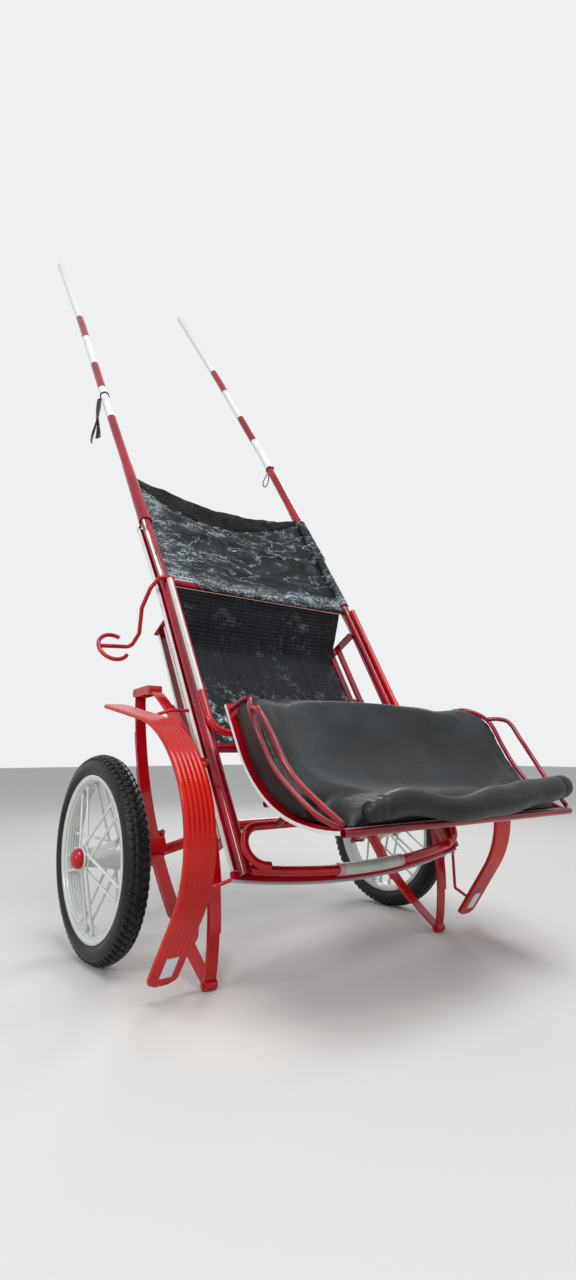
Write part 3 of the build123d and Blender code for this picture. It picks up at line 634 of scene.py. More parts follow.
def ended_tree(graph, given, points, rotation):
    """The tree, once the template is copied to the points, made real and given its finish."""
    template = graph.node("GeometryNodeObjectInfo", {}, {"Object": given["Template"]})
    copying = {"Points": points, "Instance": graph.wire(template, "Geometry"), "Rotation": rotation}
    copies = graph.node("GeometryNodeInstanceOnPoints", {}, copying)
    real = graph.node("GeometryNodeRealizeInstances", {}, {"Geometry": graph.wire(copies)})
    finishing = {"Geometry": graph.wire(real), "Material": given["Finish"]}
    finished = graph.node("GeometryNodeSetMaterial", {}, finishing)
    graph.node("NodeGroupOutput", {}, {"Geometry": graph.wire(finished)})
    return graph.tree


# %% A tree that copies a template round a wheel's axis
def ring_tree():
    graph, given = started_tree("ring of copies", Count="Int", Radius="Float", Start="Float", Centre="Vector")
    line = graph.node("GeometryNodeMeshLine", {"mode": "OFFSET"}, {"Count": given["Count"]})
    index = graph.wire(graph.node("GeometryNodeInputIndex"))
    turn = index * math.tau / given["Count"] + given["Start"]
    spot = {
        "Y": turn.maths("SINE") * given["Radius"] * -1,
        "Z": turn.maths("COSINE") * given["Radius"],
    }
    from_centre = graph.wire(graph.node("ShaderNodeCombineXYZ", {}, spot))
    place = graph.node("ShaderNodeVectorMath", {"operation": "ADD"}, {0: from_centre, 1: given["Centre"]})
    moving = {"Geometry": graph.wire(line), "Position": graph.wire(place)}
    moved = graph.node("GeometryNodeSetPosition", {}, moving)
    rotation = graph.node("ShaderNodeCombineXYZ", {}, {"X": turn})
    return ended_tree(graph, given, graph.wire(moved), graph.wire(rotation))


ring_of_copies = ring_tree()
print(ring_of_copies.name, "has", len(ring_of_copies.nodes), "nodes")


# %% Running a tree and keeping its result as a plain mesh
def evaluated_mesh(piece):
    """The object's mesh with its modifiers worked out."""
    depsgraph = bpy.context.evaluated_depsgraph_get()
    return bpy.data.meshes.new_from_object(piece.evaluated_get(depsgraph))


def grown(name, group, template, start_mesh=None, **inputs):
    """The mesh that a tree makes from its named inputs; the template is used up."""
    host = placed(name + " host", start_mesh or bpy.data.meshes.new(name + " host"))
    modifier = host.modifiers.new("nodes", "NODES")
    modifier.node_group = group
    inputs["Template"] = template
    for socket in group.interface.items_tree:
        if socket.in_out == "INPUT" and socket.name in inputs:
            modifier[socket.identifier] = inputs[socket.name]
    host.update_tag()
    mesh = evaluated_mesh(host)
    host.modifiers.remove(modifier)
    bpy.data.objects.remove(host)
    bpy.data.objects.remove(template)
    mesh.name = name
    return mesh


def ring_of(template, count, radius, start, centre, finish):
    places = {"Count": count, "Radius": radius, "Start": start, "Centre": tuple(centre)}
    return grown("ring", ring_of_copies, template, Finish=finish, **places)


def template_object(name, mesh):
    shape = placed(name, mesh)
    shape.hide_render = True
    return shape


# %% One tread block: a slanted brick whose top is smaller than its foot
block_levels = ((-0.6, 1.0), (0.55, 1.0), (1.0, 0.84))
square = ((-1, -1), (1, -1), (1, 1), (-1, 1))


def block_shape(name, width, length, height, slant, station, fall):
    """A block at a station along the axle; fall is how much its top drops per metre outwards."""
    rows = []
    for level, share in block_levels:
        row = []
        for dx, dy in square:
            x = dx * width / 2 * share
            y = dy * length / 2 * share + slant * x
            row.append((station + x, y, height * level - fall * x))
        rows.append(row)
    return template_object(name, new_mesh(name, *skin(rows, across_ends=True, capped=True)))


# %% The carcass and the rows of blocks
tyre_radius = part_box("tyre_right")[1].z - axle.z
tread_depth = 0.0032
crown = tyre_radius - tread_depth
block_count = 74
tyre_half = (
    (0.0160, crown - 0.0040),
    (0.0285, 0.2850),
    (0.0345, 0.2750),
    (0.0370, 0.2620),
    (0.0345, 0.2520),
    (0.0275, 0.2420),
    (0.0200, 0.2300),
)
tyre_mirrored = [(-station, radius) for station, radius in reversed(tyre_half)]
tyre_outline = smooth_path([*tyre_mirrored, (0.0, crown), *tyre_half], 4)
# each row: name, width, length, slant, station, drop below the crown, shift in blocks, fall outwards
block_rows = (
    ("inner", 0.0158, 0.0205, 0.55, 0.0084, 0.0012, 0.0, 0.24),
    ("outer", 0.0158, 0.0205, -0.55, -0.0084, 0.0012, 0.5, -0.24),
    ("right shoulder", 0.0110, 0.0150, 0.35, 0.0240, 0.0072, 0.5, 0.62),
    ("left shoulder", 0.0110, 0.0150, -0.35, -0.0240, 0.0072, 0.0, -0.62),
)
print("the tyre's radius is", round(tyre_radius, 4), "m and it has", 4 * block_count, "blocks")

# %% The tyres
for side, _ in sides:
    centre = hinges[f"wheel_{side}"]
    parts = [new_mesh("carcass", *turned(tyre_outline, centre))]
    for row, width, length, slant, station, drop, shift, fall in block_rows:
        block = block_shape(row + side, width, length, tread_depth, slant, station, fall)
        start = math.tau * shift / block_count
        parts.append(ring_of(block, block_count, crown - drop, start, centre, rubber))
    name = f"tyre_with_tread_{side}"
    fit(new_object(name, joined(name, parts), rubber), f"wheel_{side}", [f"tyre_{side}"])

# %% [markdown]
# ## Rims, spokes and caps
# The rim is a rolled steel section with fine grooves on the side that faces the hub. A turned outline with
# a small wave gives them. The spokes have been painted so often that they are as thick as a pencil, with a
# nipple at the rim. They are one leaning rod for each flange and direction, copied with the same tree as
# the tread. The hub's end is closed by a beaten red cap on a white ring.

# %% A grooved rim
groove_pitch = 0.0085
groove_depth = 0.0014
rim_steps = 48
rim_facets = 144


def rim_inside(station):
    """The rim's inner radius at a station along the axle, with its grooves."""
    slope = max(0.0, abs(station) - 0.015) / 0.015 * 0.005
    return 0.2212 + slope + groove_depth * (0.5 - 0.5 * math.cos(math.tau * station / groove_pitch))


rim_outline = [(-0.0300, 0.2400), (-0.0290, 0.2407), (-0.0265, 0.2400), (-0.0260, 0.2295)]
rim_outline += [(-x, radius) for x, radius in reversed(rim_outline)]
rim_stations = [0.0298 - 0.0596 * step / rim_steps for step in range(rim_steps + 1)]
rim_outline += [(station, rim_inside(station)) for station in rim_stations]
print("the rim's section has", len(rim_outline), "points")


# %% A thickly painted spoke with its nipple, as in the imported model
def in_wheel(station, radius, turn):
    """A place relative to a wheel's centre, its turn measured from forward towards up."""
    return Vector((station, 0, 0)) + forward * radius * math.cos(turn) + lift * radius * math.sin(turn)


spokes_each = 5
flanges = ((0.045, 0.036, 0.008, 0), (-0.055, 0.046, -0.008, 18))
spoke_families = [
    (station, radius, rim_station, math.radians(turn), lean)
    for station, radius, rim_station, turn in flanges
    for lean in (-1, 1)
]
spoke_line = ((0.0, 0.0040), (0.03, 0.0042), (0.90, 0.0042), (0.915, 0.0060), (0.97, 0.0066), (0.985, 0.0066))
spoke_shares, spoke_radii = zip(*spoke_line)
foot_turn = math.radians(18)
head_turn = math.radians(48)


def spoke_shape(sign, station, radius, rim_station, turn, lean):
    start = turn + lean * foot_turn
    foot = in_wheel(sign * (station + lean * 0.0025), radius - 0.006, start)
    head = in_wheel(sign * rim_station, 0.225, start + lean * head_turn)
    path = [foot + (head - foot) * share for share in spoke_shares]
    return template_object("spoke", new_mesh("spoke", *tube(path, spoke_radii, 10)))


print("each wheel has", spokes_each * len(spoke_families), "spokes")

# %% The cap's line from its edge to its tip, and its dents
cap_side = ((0.0500, 0.0270), (0.0560, 0.0290), (0.0660, 0.0288), (0.0760, 0.0250), (0.0820, 0.0160))
cap_line = [(0.0500, 0.0004), *smooth_path((*cap_side, (0.0840, 0.0004)), 6)]
ring_line = ((0.0497, 0.0272), (0.0508, 0.0315), (0.0545, 0.0320), (0.0562, 0.0305), (0.0560, 0.0272))
dent_depth = 0.045
dent_scale = 38


def turned_out(line, sign, centre):
    """A line turned into a shape whose outer end points away from the cart."""
    return turned([(sign * station, radius) for station, radius in line], centre, 48)


def beaten(points, centre):
    for p in points:
        dent = 1 + dent_depth * noise.noise(p * dent_scale)
        yield centre + Vector((p.x, p.y * dent, p.z * dent))


# %% Rims, spokes and caps on both wheels
for side, sign in sides:
    body = f"wheel_{side}"
    centre = hinges[body]
    rim = new_mesh("rim", *turned(rim_outline, centre, rim_facets))
    fit(new_object(f"grooved_rim_{side}", rim, white_paint), body, [f"rim_{side}"])
    shapes = [spoke_shape(sign, *family) for family in spoke_families]
    parts = [ring_of(spoke, spokes_each, 0.0, 0.0, centre, white_paint) for spoke in shapes]
    parts.append(new_mesh("cap ring", *turned_out(ring_line, sign, centre)))
    name = f"painted_spokes_{side}"
    fit(new_object(name, joined(name, parts), white_paint), body)
    points, faces = turned_out(cap_line, sign, Vector((0, 0, 0)))
    cap = new_mesh("cap", beaten(points, centre), faces)
    fit(new_object(f"beaten_cap_{side}", cap, bright_paint), body, [f"hub_cap_{side}"])

# %% [markdown]
# ## Fenders
# A fender is one strip of thin sheet with soft lengthwise ridges, rolled down at both edges and rounded
# at its lower corners. Its side view is two arcs with a straight skirt below each. Rows of points across
# the strip, taken along that line, make it, and Solidify gives the sheet its thickness.

# %% The fender's side line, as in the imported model
fender_top = (-0.057, 0.582)
rear_arc = (0.300, math.radians(65), 0.216)
front_arc = (0.336, math.radians(50), 0.270)
fender_inside = 0.555
fender_outside = 0.637
fender_width = fender_outside - fender_inside
fender_middle = (fender_inside + fender_outside) / 2
fender_length = sum(radius * sweep + skirt for radius, sweep, skirt in (rear_arc, front_arc))


def fender_line(distance):
    """The point and the outward direction at a distance from the rear end, in the side view."""
    rear_length = rear_arc[0] * rear_arc[1] + rear_arc[2]
    radius, sweep, skirt = rear_arc if distance < rear_length else front_arc
    way = -1 if distance < rear_length else 1
    from_top = abs(distance - rear_length)
    angle = min(from_top / radius, sweep)
    out = (way * math.sin(angle), math.cos(angle))
    run = max(from_top - radius * sweep, 0)
    reach = fender_top[0] + out[0] * radius + way * out[1] * run
    height = fender_top[1] - radius + out[1] * radius - way * out[0] * run
    return reach, height, out


# %% The fenders
ridge_count = 6
ridge_height = 0.0011
fender_lip = 0.008
corner_round = 0.022
fender_rows = 110
fender_columns = 60
fender_sheet = 0.0018


def fender_rows_of(x_middle):
    rows = []
    for row in range(fender_rows + 1):
        distance = fender_length * row / fender_rows
        reach, height, out = fender_line(distance)
        to_end = min(distance, fender_length - distance)
        inset = 0.0
        if to_end < corner_round:
            inset = corner_round - math.sqrt(corner_round**2 - (corner_round - to_end) ** 2)
        half = fender_width / 2 - inset
        line = [(-half, -fender_lip), (-half, -0.003)]
        for column in range(fender_columns + 1):
            share = column / fender_columns
            ridge = 0.5 - 0.5 * math.cos(math.tau * ridge_count * share)
            line.append((-half + 0.001 + share * 2 * (half - 0.001), ridge_height * ridge))
        line += [(half, -0.003), (half, -fender_lip)]
        rows.append([at(x_middle + x, reach + out[0] * up, height + out[1] * up) for x, up in line])
    return rows


for side, sign in sides:
    mesh = new_mesh("fender", *skin(fender_rows_of(sign * fender_middle)))
    fender = new_object(f"ribbed_fender_{side}", mesh, fender_paint)
    thicken(fender, fender_sheet, 1)
    fit(fender, "frame", [f"fender_{side}"])


# %% The reflector plates near the fenders' rear ends
def make_reflector():
    finish = Finish("pale reflector", Coat_Weight=0.9, Coat_Roughness=0.05, Specular_IOR_Level=0.5)
    prisms = finish.cells(300, randomness=0.0)
    finish.feed("Base Color", finish.mix(prisms, rgb(230, 234, 236), rgb(186, 208, 220)))
    finish.feed("Roughness", 0.2 + finish.noise(60, 3) * 0.2)
    finish.bump(prisms, 0.4, 0.001)
    return finish.material


reflector_finish = make_reflector()
plate_half = 0.0165
plate_low, plate_high = 0.030, 0.096
plate_middle = (plate_low + plate_high) / 2
plate_lift = 0.0022
plate_depth = 0.0035
plate_levels = ((0.0, 1.0), (0.7, 1.0), (1.0, 0.9))
plate_corners = ((-1, plate_low), (1, plate_low), (1, plate_high), (-1, plate_high))
for side, sign in sides:
    rows = []
    for level, share in plate_levels:
        row = []
        for dx, distance in plate_corners:
            reach, height, out = fender_line(plate_middle + (distance - plate_middle) * share)
            up = plate_lift + plate_depth * level
            x = sign * fender_middle + dx * plate_half * share
            row.append(at(x, reach + out[0] * up, height + out[1] * up))
        rows.append(row)
    mesh = new_mesh("plate", *skin(rows, across_ends=True, capped=True))
    plate = new_object(f"reflector_plate_{side}", mesh, reflector_finish, smooth=False)
    fit(plate, "frame", [f"reflector_{side}"])

# %% [markdown]
# ## Soft pieces: the seat
# The seat is a board covered with foam under dark slate vinyl, which climbs at both sides to the lower
# armrest rods. Its side view is straight at the front and then curls up in two arcs. Everything on the
# seat is placed by three measures: across, along that line and square to it. The bars' white edge and the
# vinyl come first, because they need the same line.

# %% The seat's side line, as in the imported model
seat_height = 0.588
seat_front = 0.167
seat_bend = 0.031
seat_arcs = ((0.355, math.radians(50)), (0.580, math.radians(16)))
seat_straight = seat_front - seat_bend
seat_length = seat_straight + sum(radius * sweep for radius, sweep in seat_arcs)


def seat_line(distance, above=0.0):
    """Reach, height and direction towards the sitter, at a distance from the seat's front edge."""
    if distance <= seat_straight:
        return seat_front - distance, seat_height + above, (0.0, 1.0)
    (first, first_sweep), (second, _) = seat_arcs
    centre = (seat_bend, seat_height + first)
    angle = (distance - seat_straight) / first
    radius = first
    if angle > first_sweep:
        shift = second - first
        centre = (centre[0] + shift * math.sin(first_sweep), centre[1] + shift * math.cos(first_sweep))
        angle = first_sweep + (distance - seat_straight - first * first_sweep) / second
        radius = second
    towards = (math.sin(angle), math.cos(angle))
    return centre[0] - (radius - above) * towards[0], centre[1] - (radius - above) * towards[1], towards


def on_seat(x, distance, above):
    reach, height, _ = seat_line(distance, above)
    return at(x, reach, height)


print("the seat's side line is", round(seat_length, 3), "m long")

# %% The bars' white line, on the lower half of their outer faces
bar_line = 0.0042


def below_seat_line(finish):
    reach, height = distance_forward(finish), height_above_axle(finish)

    def outside_arc(radius, reach_centre, height_centre):
        dx, dy = reach - reach_centre, height - height_centre
        return (dx * dx + dy * dy).maths("SQRT") > radius - bar_line

    (first, sweep), (second, _) = seat_arcs
    shift = second - first
    centre = (seat_bend, seat_height + first)
    low_arc = outside_arc(first, *centre)
    high_arc = outside_arc(second, centre[0] + shift * math.sin(sweep), centre[1] + shift * math.cos(sweep))
    is_high = height > centre[1] - first * math.cos(sweep)
    is_front = reach > seat_bend
    arcs = low_arc * (1 - is_high) + high_arc * is_high
    return arcs * (1 - is_front) + (height < seat_height + bar_line) * is_front


def bar_edge(finish):
    return outer_edge(bar_outside)(finish) * below_seat_line(finish)


bar_paint = painted("bright red bar with a white edge", bright_red, crimson, bar_edge)
print(bar_paint.name, "has", len(bar_paint.node_tree.nodes), "nodes")

# %% Vinyl
vinyl_dark = rgb(15, 18, 20)
vinyl_light = rgb(50, 57, 62)
vinyl_speck = rgb(140, 150, 156)
brown_dark = rgb(18, 13, 11)
brown_light = rgb(40, 33, 30)
brown_from = (0.446, 0.462)
brown_up_to = (0.82, 0.84)


def make_vinyl(name, dark, light, haze):
    """Vinyl that is brown where it hangs outside the seat's lower rods."""
    finish = Finish(name, Specular_IOR_Level=0.3)
    cloud = finish.ease(finish.noise(5, 3), 0.4, 0.75)
    fine = finish.ease(finish.noise(60, 5, 0.7), 0.42, 0.75)
    specks = finish.ease(finish.cells(240), 0.16, 0.05) * finish.ease(finish.noise(14, 3), 0.5, 0.7)
    tone = finish.mix(cloud * haze + fine * haze * 0.5, dark, light)
    tone = finish.mix(specks * 0.45, tone, vinyl_speck)
    outside = finish.ease(across(finish) + finish.noise(20, 2) * 0.004, *brown_from)
    below_rods = 1 - finish.ease(height_above_axle(finish), *brown_up_to)
    brown = finish.mix(fine, brown_dark, brown_light)
    finish.feed("Base Color", finish.mix(outside * below_rods, tone, brown))
    finish.feed("Roughness", 0.42 + fine * 0.2 - specks * 0.2)
    finish.bump(finish.cells(420) * 0.5 + finish.noise(90, 3) * 0.8, 0.3, 0.001)
    return finish.material


seat_vinyl = make_vinyl("slate vinyl", vinyl_dark, vinyl_light, 0.55)
roll_vinyl = make_vinyl("dark vinyl roll", rgb(20, 22, 22), rgb(52, 55, 57), 0.4)
print("two vinyls of", len(seat_vinyl.node_tree.nodes), "nodes each")

# %% [markdown]
# ## Foam under a tight cover
# Foam pushes its cover outwards, and a pad that is only drawn looks flat. Blender's cloth does the same
# with air: the closed mesh is remeshed into even cells and blown up for twenty frames without gravity, and
# no point may move further than a cap. The cushion is rows of points that follow the seat's line with the
# under side on the board. It is drawn thinner by that cap.

# %% Swelling a pad with air pressure
swell_frames = 20
cloth_quality = 5


def swell(mesh, voxel, pressure, cap, held):
    """The mesh remeshed, blown up as cloth and capped; held says which points stay."""
    pad = placed("pad", mesh)
    remesh = pad.modifiers.new("remesh", "REMESH")
    remesh.mode = "VOXEL"
    remesh.voxel_size = voxel
    start = evaluated_mesh(pad)
    pad.modifiers.remove(remesh)
    pad.data = start
    pinned = pad.vertex_groups.new(name="held")
    pinned.add([v.index for v in start.vertices if held(v.co)], 1.0, "REPLACE")
    cloth = pad.modifiers.new("cloth", "CLOTH")
    cloth.settings.vertex_group_mass = "held"
    cloth.settings.use_pressure = True
    cloth.settings.uniform_pressure_force = pressure
    cloth.settings.effector_weights.gravity = 0
    cloth.settings.quality = cloth_quality
    cloth.point_cache.frame_end = swell_frames
    for number in range(1, swell_frames + 1):
        bpy.context.scene.frame_set(number)
    blown = evaluated_mesh(pad)
    for before, after in zip(start.vertices, blown.vertices):
        move = after.co - before.co
        if move.length > cap:
            after.co = before.co + move * (cap / move.length)
    bpy.data.objects.remove(pad)
    bpy.context.scene.frame_set(1)
    return blown


# %% The cushion, before it is blown up
board_top = 0.0053
cushion_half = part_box("seat_cushion")[1].x - 0.004
cushion_end = seat_length - 0.016
cushion_swell = 0.007
cushion_top = 0.050 - cushion_swell
cushion_overhang = 0.012
cushion_crown = 0.028
cushion_rounding = 0.045
cushion_rows = 40
cushion_columns = 48
board_spots = 60
board_reach = 0.007


def quarter_round(share):
    """Rises from 0 to 1 as a quarter of a circle does, and stays there."""
    return math.sqrt(max(0.0, 1 - (1 - min(share, 1)) ** 2))


def cushion_skin():
    shares = [2 * column / cushion_columns - 1 for column in range(cushion_columns + 1)]
    rows = []
    for row in range(cushion_rows + 1):
        distance = (cushion_end + cushion_overhang) * row / cushion_rows - cushion_overhang
        to_end = min(distance + cushion_overhang, cushion_end - distance) / cushion_rounding
        ends = min(1.0, 0.30 + 0.70 * quarter_round(to_end))
        line = []
        for share in shares:
            edge = (1 - abs(share) ** 9) ** (1 / 3) if abs(share) < 1 else 0.0
            crown_here = cushion_top + cushion_crown * (1 - share**8)
            above = board_top + (crown_here - board_top) * (0.16 + 0.84 * edge) * ends
            line.append((share * cushion_half, distance, above))
        line += [(share * cushion_half, distance, board_top) for share in reversed(shares)]
        rows.append([on_seat(*spot) for spot in line])
    points, faces = skin(rows, across_ends=True)
    width = len(rows[0])
    for base in (0, len(points) - width):
        for column in range(cushion_columns):
            top, under = base + column, base + width - 1 - column
            faces.append((top, top + 1, under - 1, under))
    return points, faces


def on_the_board(point):
    """Whether the point lies on the seat's board, where the pad is held while it is blown up."""
    offset = point - axle
    here = (offset.dot(forward), offset.dot(lift))
    spots = [seat_line(cushion_end * k / board_spots, board_top)[:2] for k in range(board_spots + 1)]
    return min(math.dist(here, spot) for spot in spots) < board_reach


print("the cushion reaches", round(cushion_half, 3), "m to each side")

# %% [markdown]
# ## The roll along the top rail
# A stuffed roll closes the seat's upper edge. It is hand made, so it winds a little, swells and narrows,
# and its ends are tied with creases. A tube gives that outline: a few knots say where its middle runs and
# how thick it is, and the rest is eased between them.

# %% Where the roll runs and how thick it is
roll_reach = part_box("seat_roll")[1].x - 0.006
roll_places = 130
roll_creases = (-0.374, -0.352, 0.366)
crease_depth = 0.0045
crease_width = 0.006
rail_reach, rail_height, _ = seat_line(seat_length)
roll_lift = 0.049
roll_turn = math.radians(58)
roll_overhang = 0.026
roll_rounding = 0.030
roll_tip = 0.006
roll_sides = 28
roll_reach_middle = rail_reach + roll_lift * math.cos(roll_turn)
roll_height_middle = rail_height + roll_lift * math.sin(roll_turn)
# each knot: place across, how far ahead of the middle line, radius
roll_knots = (
    (-0.400, 0.000, 0.0275),
    (-0.265, 0.016, 0.0315),
    (-0.085, -0.011, 0.0295),
    (0.078, 0.003, 0.0385),
    (0.260, 0.021, 0.0360),
    (0.440, 0.033, 0.0330),
)


def between_knots(knots, x):
    """The values that belong to x, eased from one knot to the next."""
    for (low, *first), (high, *second) in zip(knots, knots[1:]):
        if x <= high:
            share = max(0.0, (x - low) / (high - low))
            share = share * share * (3 - 2 * share)
            return [a + (b - a) * share for a, b in zip(first, second)]
    return knots[-1][1:]


print("the roll goes from", round(-roll_reach, 3), "to", round(roll_reach + roll_overhang, 3), "m")

# %% The roll
path, radii = [], []
for number in range(roll_places + 1):
    share = number / roll_places
    x = -roll_reach + (2 * roll_reach + roll_overhang) * share
    ahead, thick = between_knots(roll_knots, x)
    lumps = 0.0022 * noise.noise(Vector((x * 9, 0.0, 5.0)))
    pinch = sum(crease_depth * math.exp(-(((x - crease) / crease_width) ** 2)) for crease in roll_creases)
    end = quarter_round(min(share, 1 - share) * 2 * roll_reach / roll_rounding)
    path.append(at(x, roll_reach_middle + ahead, roll_height_middle + lumps))
    radii.append(max(roll_tip, (thick + lumps - pinch) * end))
mesh = new_mesh("roll", *tube(path, radii, roll_sides))
mesh = swell(mesh, voxel=0.006, pressure=2.0, cap=0.003, held=lambda point: False)
roll = new_object("vinyl_roll", mesh, roll_vinyl)
smooth_once(roll)
fit(roll, "frame", ["seat_roll"])

# %% [markdown]
# ## Armrest rods and the seat's flanks
# Two bent rods run over each side of the seat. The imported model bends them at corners, and on the real cart
# they were pulled round by hand, so smooth tubes through the same corners stand for them. The vinyl climbs
# from the seat to the lower rod as a padded flank. A flank is rows of a closed outline, one for each step
# along the seat, and each row's top is where a line square to the seat meets the rod. The cushion and both
# flanks are then blown up as one pad, so that they flow into each other.

# %% The rods
lower_rod = (
    (0.430, 0.150, 0.597),
    (0.437, 0.138, 0.660),
    (0.455, 0.108, 0.708),
    (0.486, 0.050, 0.735),
    (0.484, -0.045, 0.738),
    (0.476, -0.130, 0.748),
    (0.450, -0.250, 0.792),
    (0.430, -0.322, 0.846),
)
upper_rod = (
    (0.483, 0.058, 0.738),
    (0.497, 0.040, 0.768),
    (0.505, 0.012, 0.790),
    (0.499, -0.055, 0.799),
    (0.496, -0.130, 0.806),
    (0.480, -0.200, 0.819),
    (0.438, -0.312, 0.856),
)
rod_radius = 0.007
lower_path = smooth_path(lower_rod, 8)
upper_path = smooth_path(upper_rod, 8)
for side, sign in sides:
    lines = [[at(sign * x, reach, height) for x, reach, height in path] for path in (lower_path, upper_path)]
    rods = [new_mesh("rod", *tube(line, rod_radius, 14)) for line in lines]
    name = f"armrest_rods_{side}"
    fit(new_object(name, joined(name, rods), rod_red), "frame", [f"armrests_{side}"])

# %% The flanks
flank_first, flank_last = 0.030, 0.470
flank_rows = 44
flank_curve = 10
flank_side = 0.428
flank_foot = 0.190
flank_rise = 0.030
flank_gap = 0.0010


def rod_above(distance):
    """How far across and above the seat the lower rod is, square to the seat at this distance."""
    reach, height, towards = seat_line(distance)
    found = []
    for x, rod_reach, rod_height in lower_path:
        off_reach, off_height = rod_reach - reach, rod_height - height
        aside = abs(off_reach * towards[1] - off_height * towards[0])
        found.append((aside, x, off_reach * towards[0] + off_height * towards[1]))
    return min(found, key=lambda spot: spot[0])[1:]


def bezier(t, *corners):
    """A point on the cubic curve of four corners."""
    weights = ((1 - t) ** 3, 3 * t * (1 - t) ** 2, 3 * t * t * (1 - t), t**3)
    return tuple(sum(weight * corner[k] for weight, corner in zip(weights, corners)) for k in (0, 1))


def flank_outline(distance):
    """One closed line of the flank: up its outer side, over the rod's top and down to the cushion."""
    x_rod, rise = rod_above(distance)
    rise = max(rise, flank_rise)
    top = x_rod - rod_radius - flank_gap
    crown_here = cushion_top + cushion_crown - 0.004
    corners = (
        (top - 0.004, rise + 0.001),
        (top - 0.070, rise + 0.004),
        (flank_foot + 0.150, crown_here + 0.026),
        (flank_foot, crown_here),
    )
    outer = [(flank_side, 0.0075), ((flank_side + top) / 2 + 0.003, rise * 0.5), (top, rise - 0.002)]
    inner = [bezier(step / flank_curve, *corners) for step in range(1, flank_curve + 1)]
    return [*outer, *inner, (flank_foot, 0.012)]


def flank_skin(sign):
    distances = [flank_first + (flank_last - flank_first) * row / flank_rows for row in range(flank_rows + 1)]
    rows = [[on_seat(sign * x, along, above) for x, above in flank_outline(along)] for along in distances]
    return skin(rows, across_ends=True, capped=True)


print("a flank rises", [round(rod_above(distance)[1], 3) for distance in (0.05, 0.20, 0.40)], "m")


# %% Relaxing the pad where its parts meet
def soften(mesh, times, zone):
    """Relax the points whose distance from the middle is in a zone, so that joined pads flow together."""
    shape = bmesh.new()
    shape.from_mesh(mesh)
    near = [point for point in shape.verts if zone[0] < abs(point.co.x) < zone[1]]
    inner = [point for point in near if not on_the_board(point.co)]
    every_axis = {f"use_axis_{axis}": True for axis in "xyz"}
    for _ in range(times):
        bmesh.ops.smooth_vert(shape, verts=inner, factor=0.5, **every_axis)
    shape.to_mesh(mesh)
    shape.free()


# %% Cushion and flanks become one pad
seat_voxel = 0.009
seat_pressure = 3.0
soft_zone = (0.14, 0.415)
soft_times = 12


def held_on_seat(point):
    return on_the_board(point) or abs(point.x) > soft_zone[1]


pads = [new_mesh("cushion", *cushion_skin())] + [new_mesh("flank", *flank_skin(sign)) for _, sign in sides]
mesh = swell(joined("seat pad", pads), seat_voxel, seat_pressure, cushion_swell, held_on_seat)
soften(mesh, soft_times, soft_zone)
cushion = new_object("vinyl_seat_cushion", mesh, seat_vinyl)
smooth_once(cushion)
fit(cushion, "frame", ["seat_cushion", "seat_side_left", "seat_side_right"])

# %% [markdown]
# ## The dash of crinkled tarpaulin
# A dark woven-plastic sheet is laced between the shafts. Its top is turned over twice into a thick black
# hem that sags, its right edge is wrapped over the right shaft, and its foot is folded over the crossbar.
# It has been crumpled into a web of fine creases. The glints that their crests and the long folds catch
# are painted into its colour as white lines and specks. The sheet is rows of points from foot to hem, and a
# noise pulled out along the slack gives both folds and creases.

# %% Tarpaulin
tarp_dark = rgb(6, 14, 17)
tarp_light = rgb(24, 38, 44)
painted_glint_white = rgb(208, 222, 230)
level_pull = (0.55, 1.6, 1.6)
upright_pull = (1.5, 0.7, 0.7)


def make_tarp(name, highlight_share, dark, light, shine):
    finish = Finish(name, Specular_IOR_Level=shine)
    broad = finish.noise(6, 3, 0.5)
    long_folds = (finish.noise(8, 5, 0.6, level_pull) - 0.5).maths("ABSOLUTE")
    web = (finish.noise(22, 6, 0.7, level_pull) - 0.5).maths("ABSOLUTE")
    fine_web = (finish.noise(60, 5, 0.7, upright_pull) - 0.5).maths("ABSOLUTE")
    reach = distance_forward(finish) + broad * 0.08
    from_left = sideways(finish) + shaft_x
    # The white is painted highlight: glints on the crests of creases and folds, strongest near the foot, near
    # the left edge and in random patches.
    edges = finish.inside(reach, 0.79, 0.88, 0.02) * 0.65 + finish.ease(from_left, 0.14, 0.04) * 0.45
    glint_amount = finish.ease(finish.noise(10, 4, 0.7), 0.47, 0.64) * 0.6 + edges
    lines = finish.ease(web, 0.020, 0.0) * glint_amount + finish.ease(fine_web, 0.022, 0.0) * glint_amount * 0.8
    lines = lines + finish.ease(long_folds, 0.010, 0.0) * 0.8
    specks = finish.ease(finish.noise(420, 2, 0.6), 0.54, 0.64) * glint_amount
    tone = finish.mix(finish.ease(broad, 0.4, 0.7) * 0.5, dark, light)
    white = (lines + specks * 0.5).maths("MINIMUM", 1)
    finish.feed("Base Color", finish.mix(white * white * highlight_share, tone, painted_glint_white))
    finish.feed("Roughness", 0.30 + broad * 0.2)
    finish.bump(long_folds * 4 + web * 2.2 + fine_web + finish.cells(520) * 0.2, 0.8, 0.0028)
    return finish.material


# Both finishes get painted crease glints, strong on the sheet and faint on the black hem.
tarp_finish = make_tarp("crinkled tarpaulin", 0.95, tarp_dark, tarp_light, 0.2)
hem_finish = make_tarp("black tarpaulin hem", 0.06, rgb(5, 6, 7), rgb(14, 16, 18), 0.1)
print(tarp_finish.name, "has", len(tarp_finish.node_tree.nodes), "nodes")

# %% The shafts that hold the tarpaulin, and its outline between them
shaft_radius = 0.018
level_end = 0.720
shaft_slope = 0.06195
crossbar_reach = 0.773
tarp_start = 0.7905
tarp_fold = 0.034
tarp_top = 1.357
tarp_sag = 0.083
tarp_right = shaft_x - 0.0195
tarp_left = -tarp_right
bare_bar_end = -0.300


def tarp_foot(x):
    """Where the sheet ends: above the crossbar at the left, and folded over it elsewhere."""
    share = min(1.0, max(0.0, (x - bare_bar_end + 0.03) / 0.05))
    return tarp_start - tarp_fold * share * share * (3 - 2 * share)


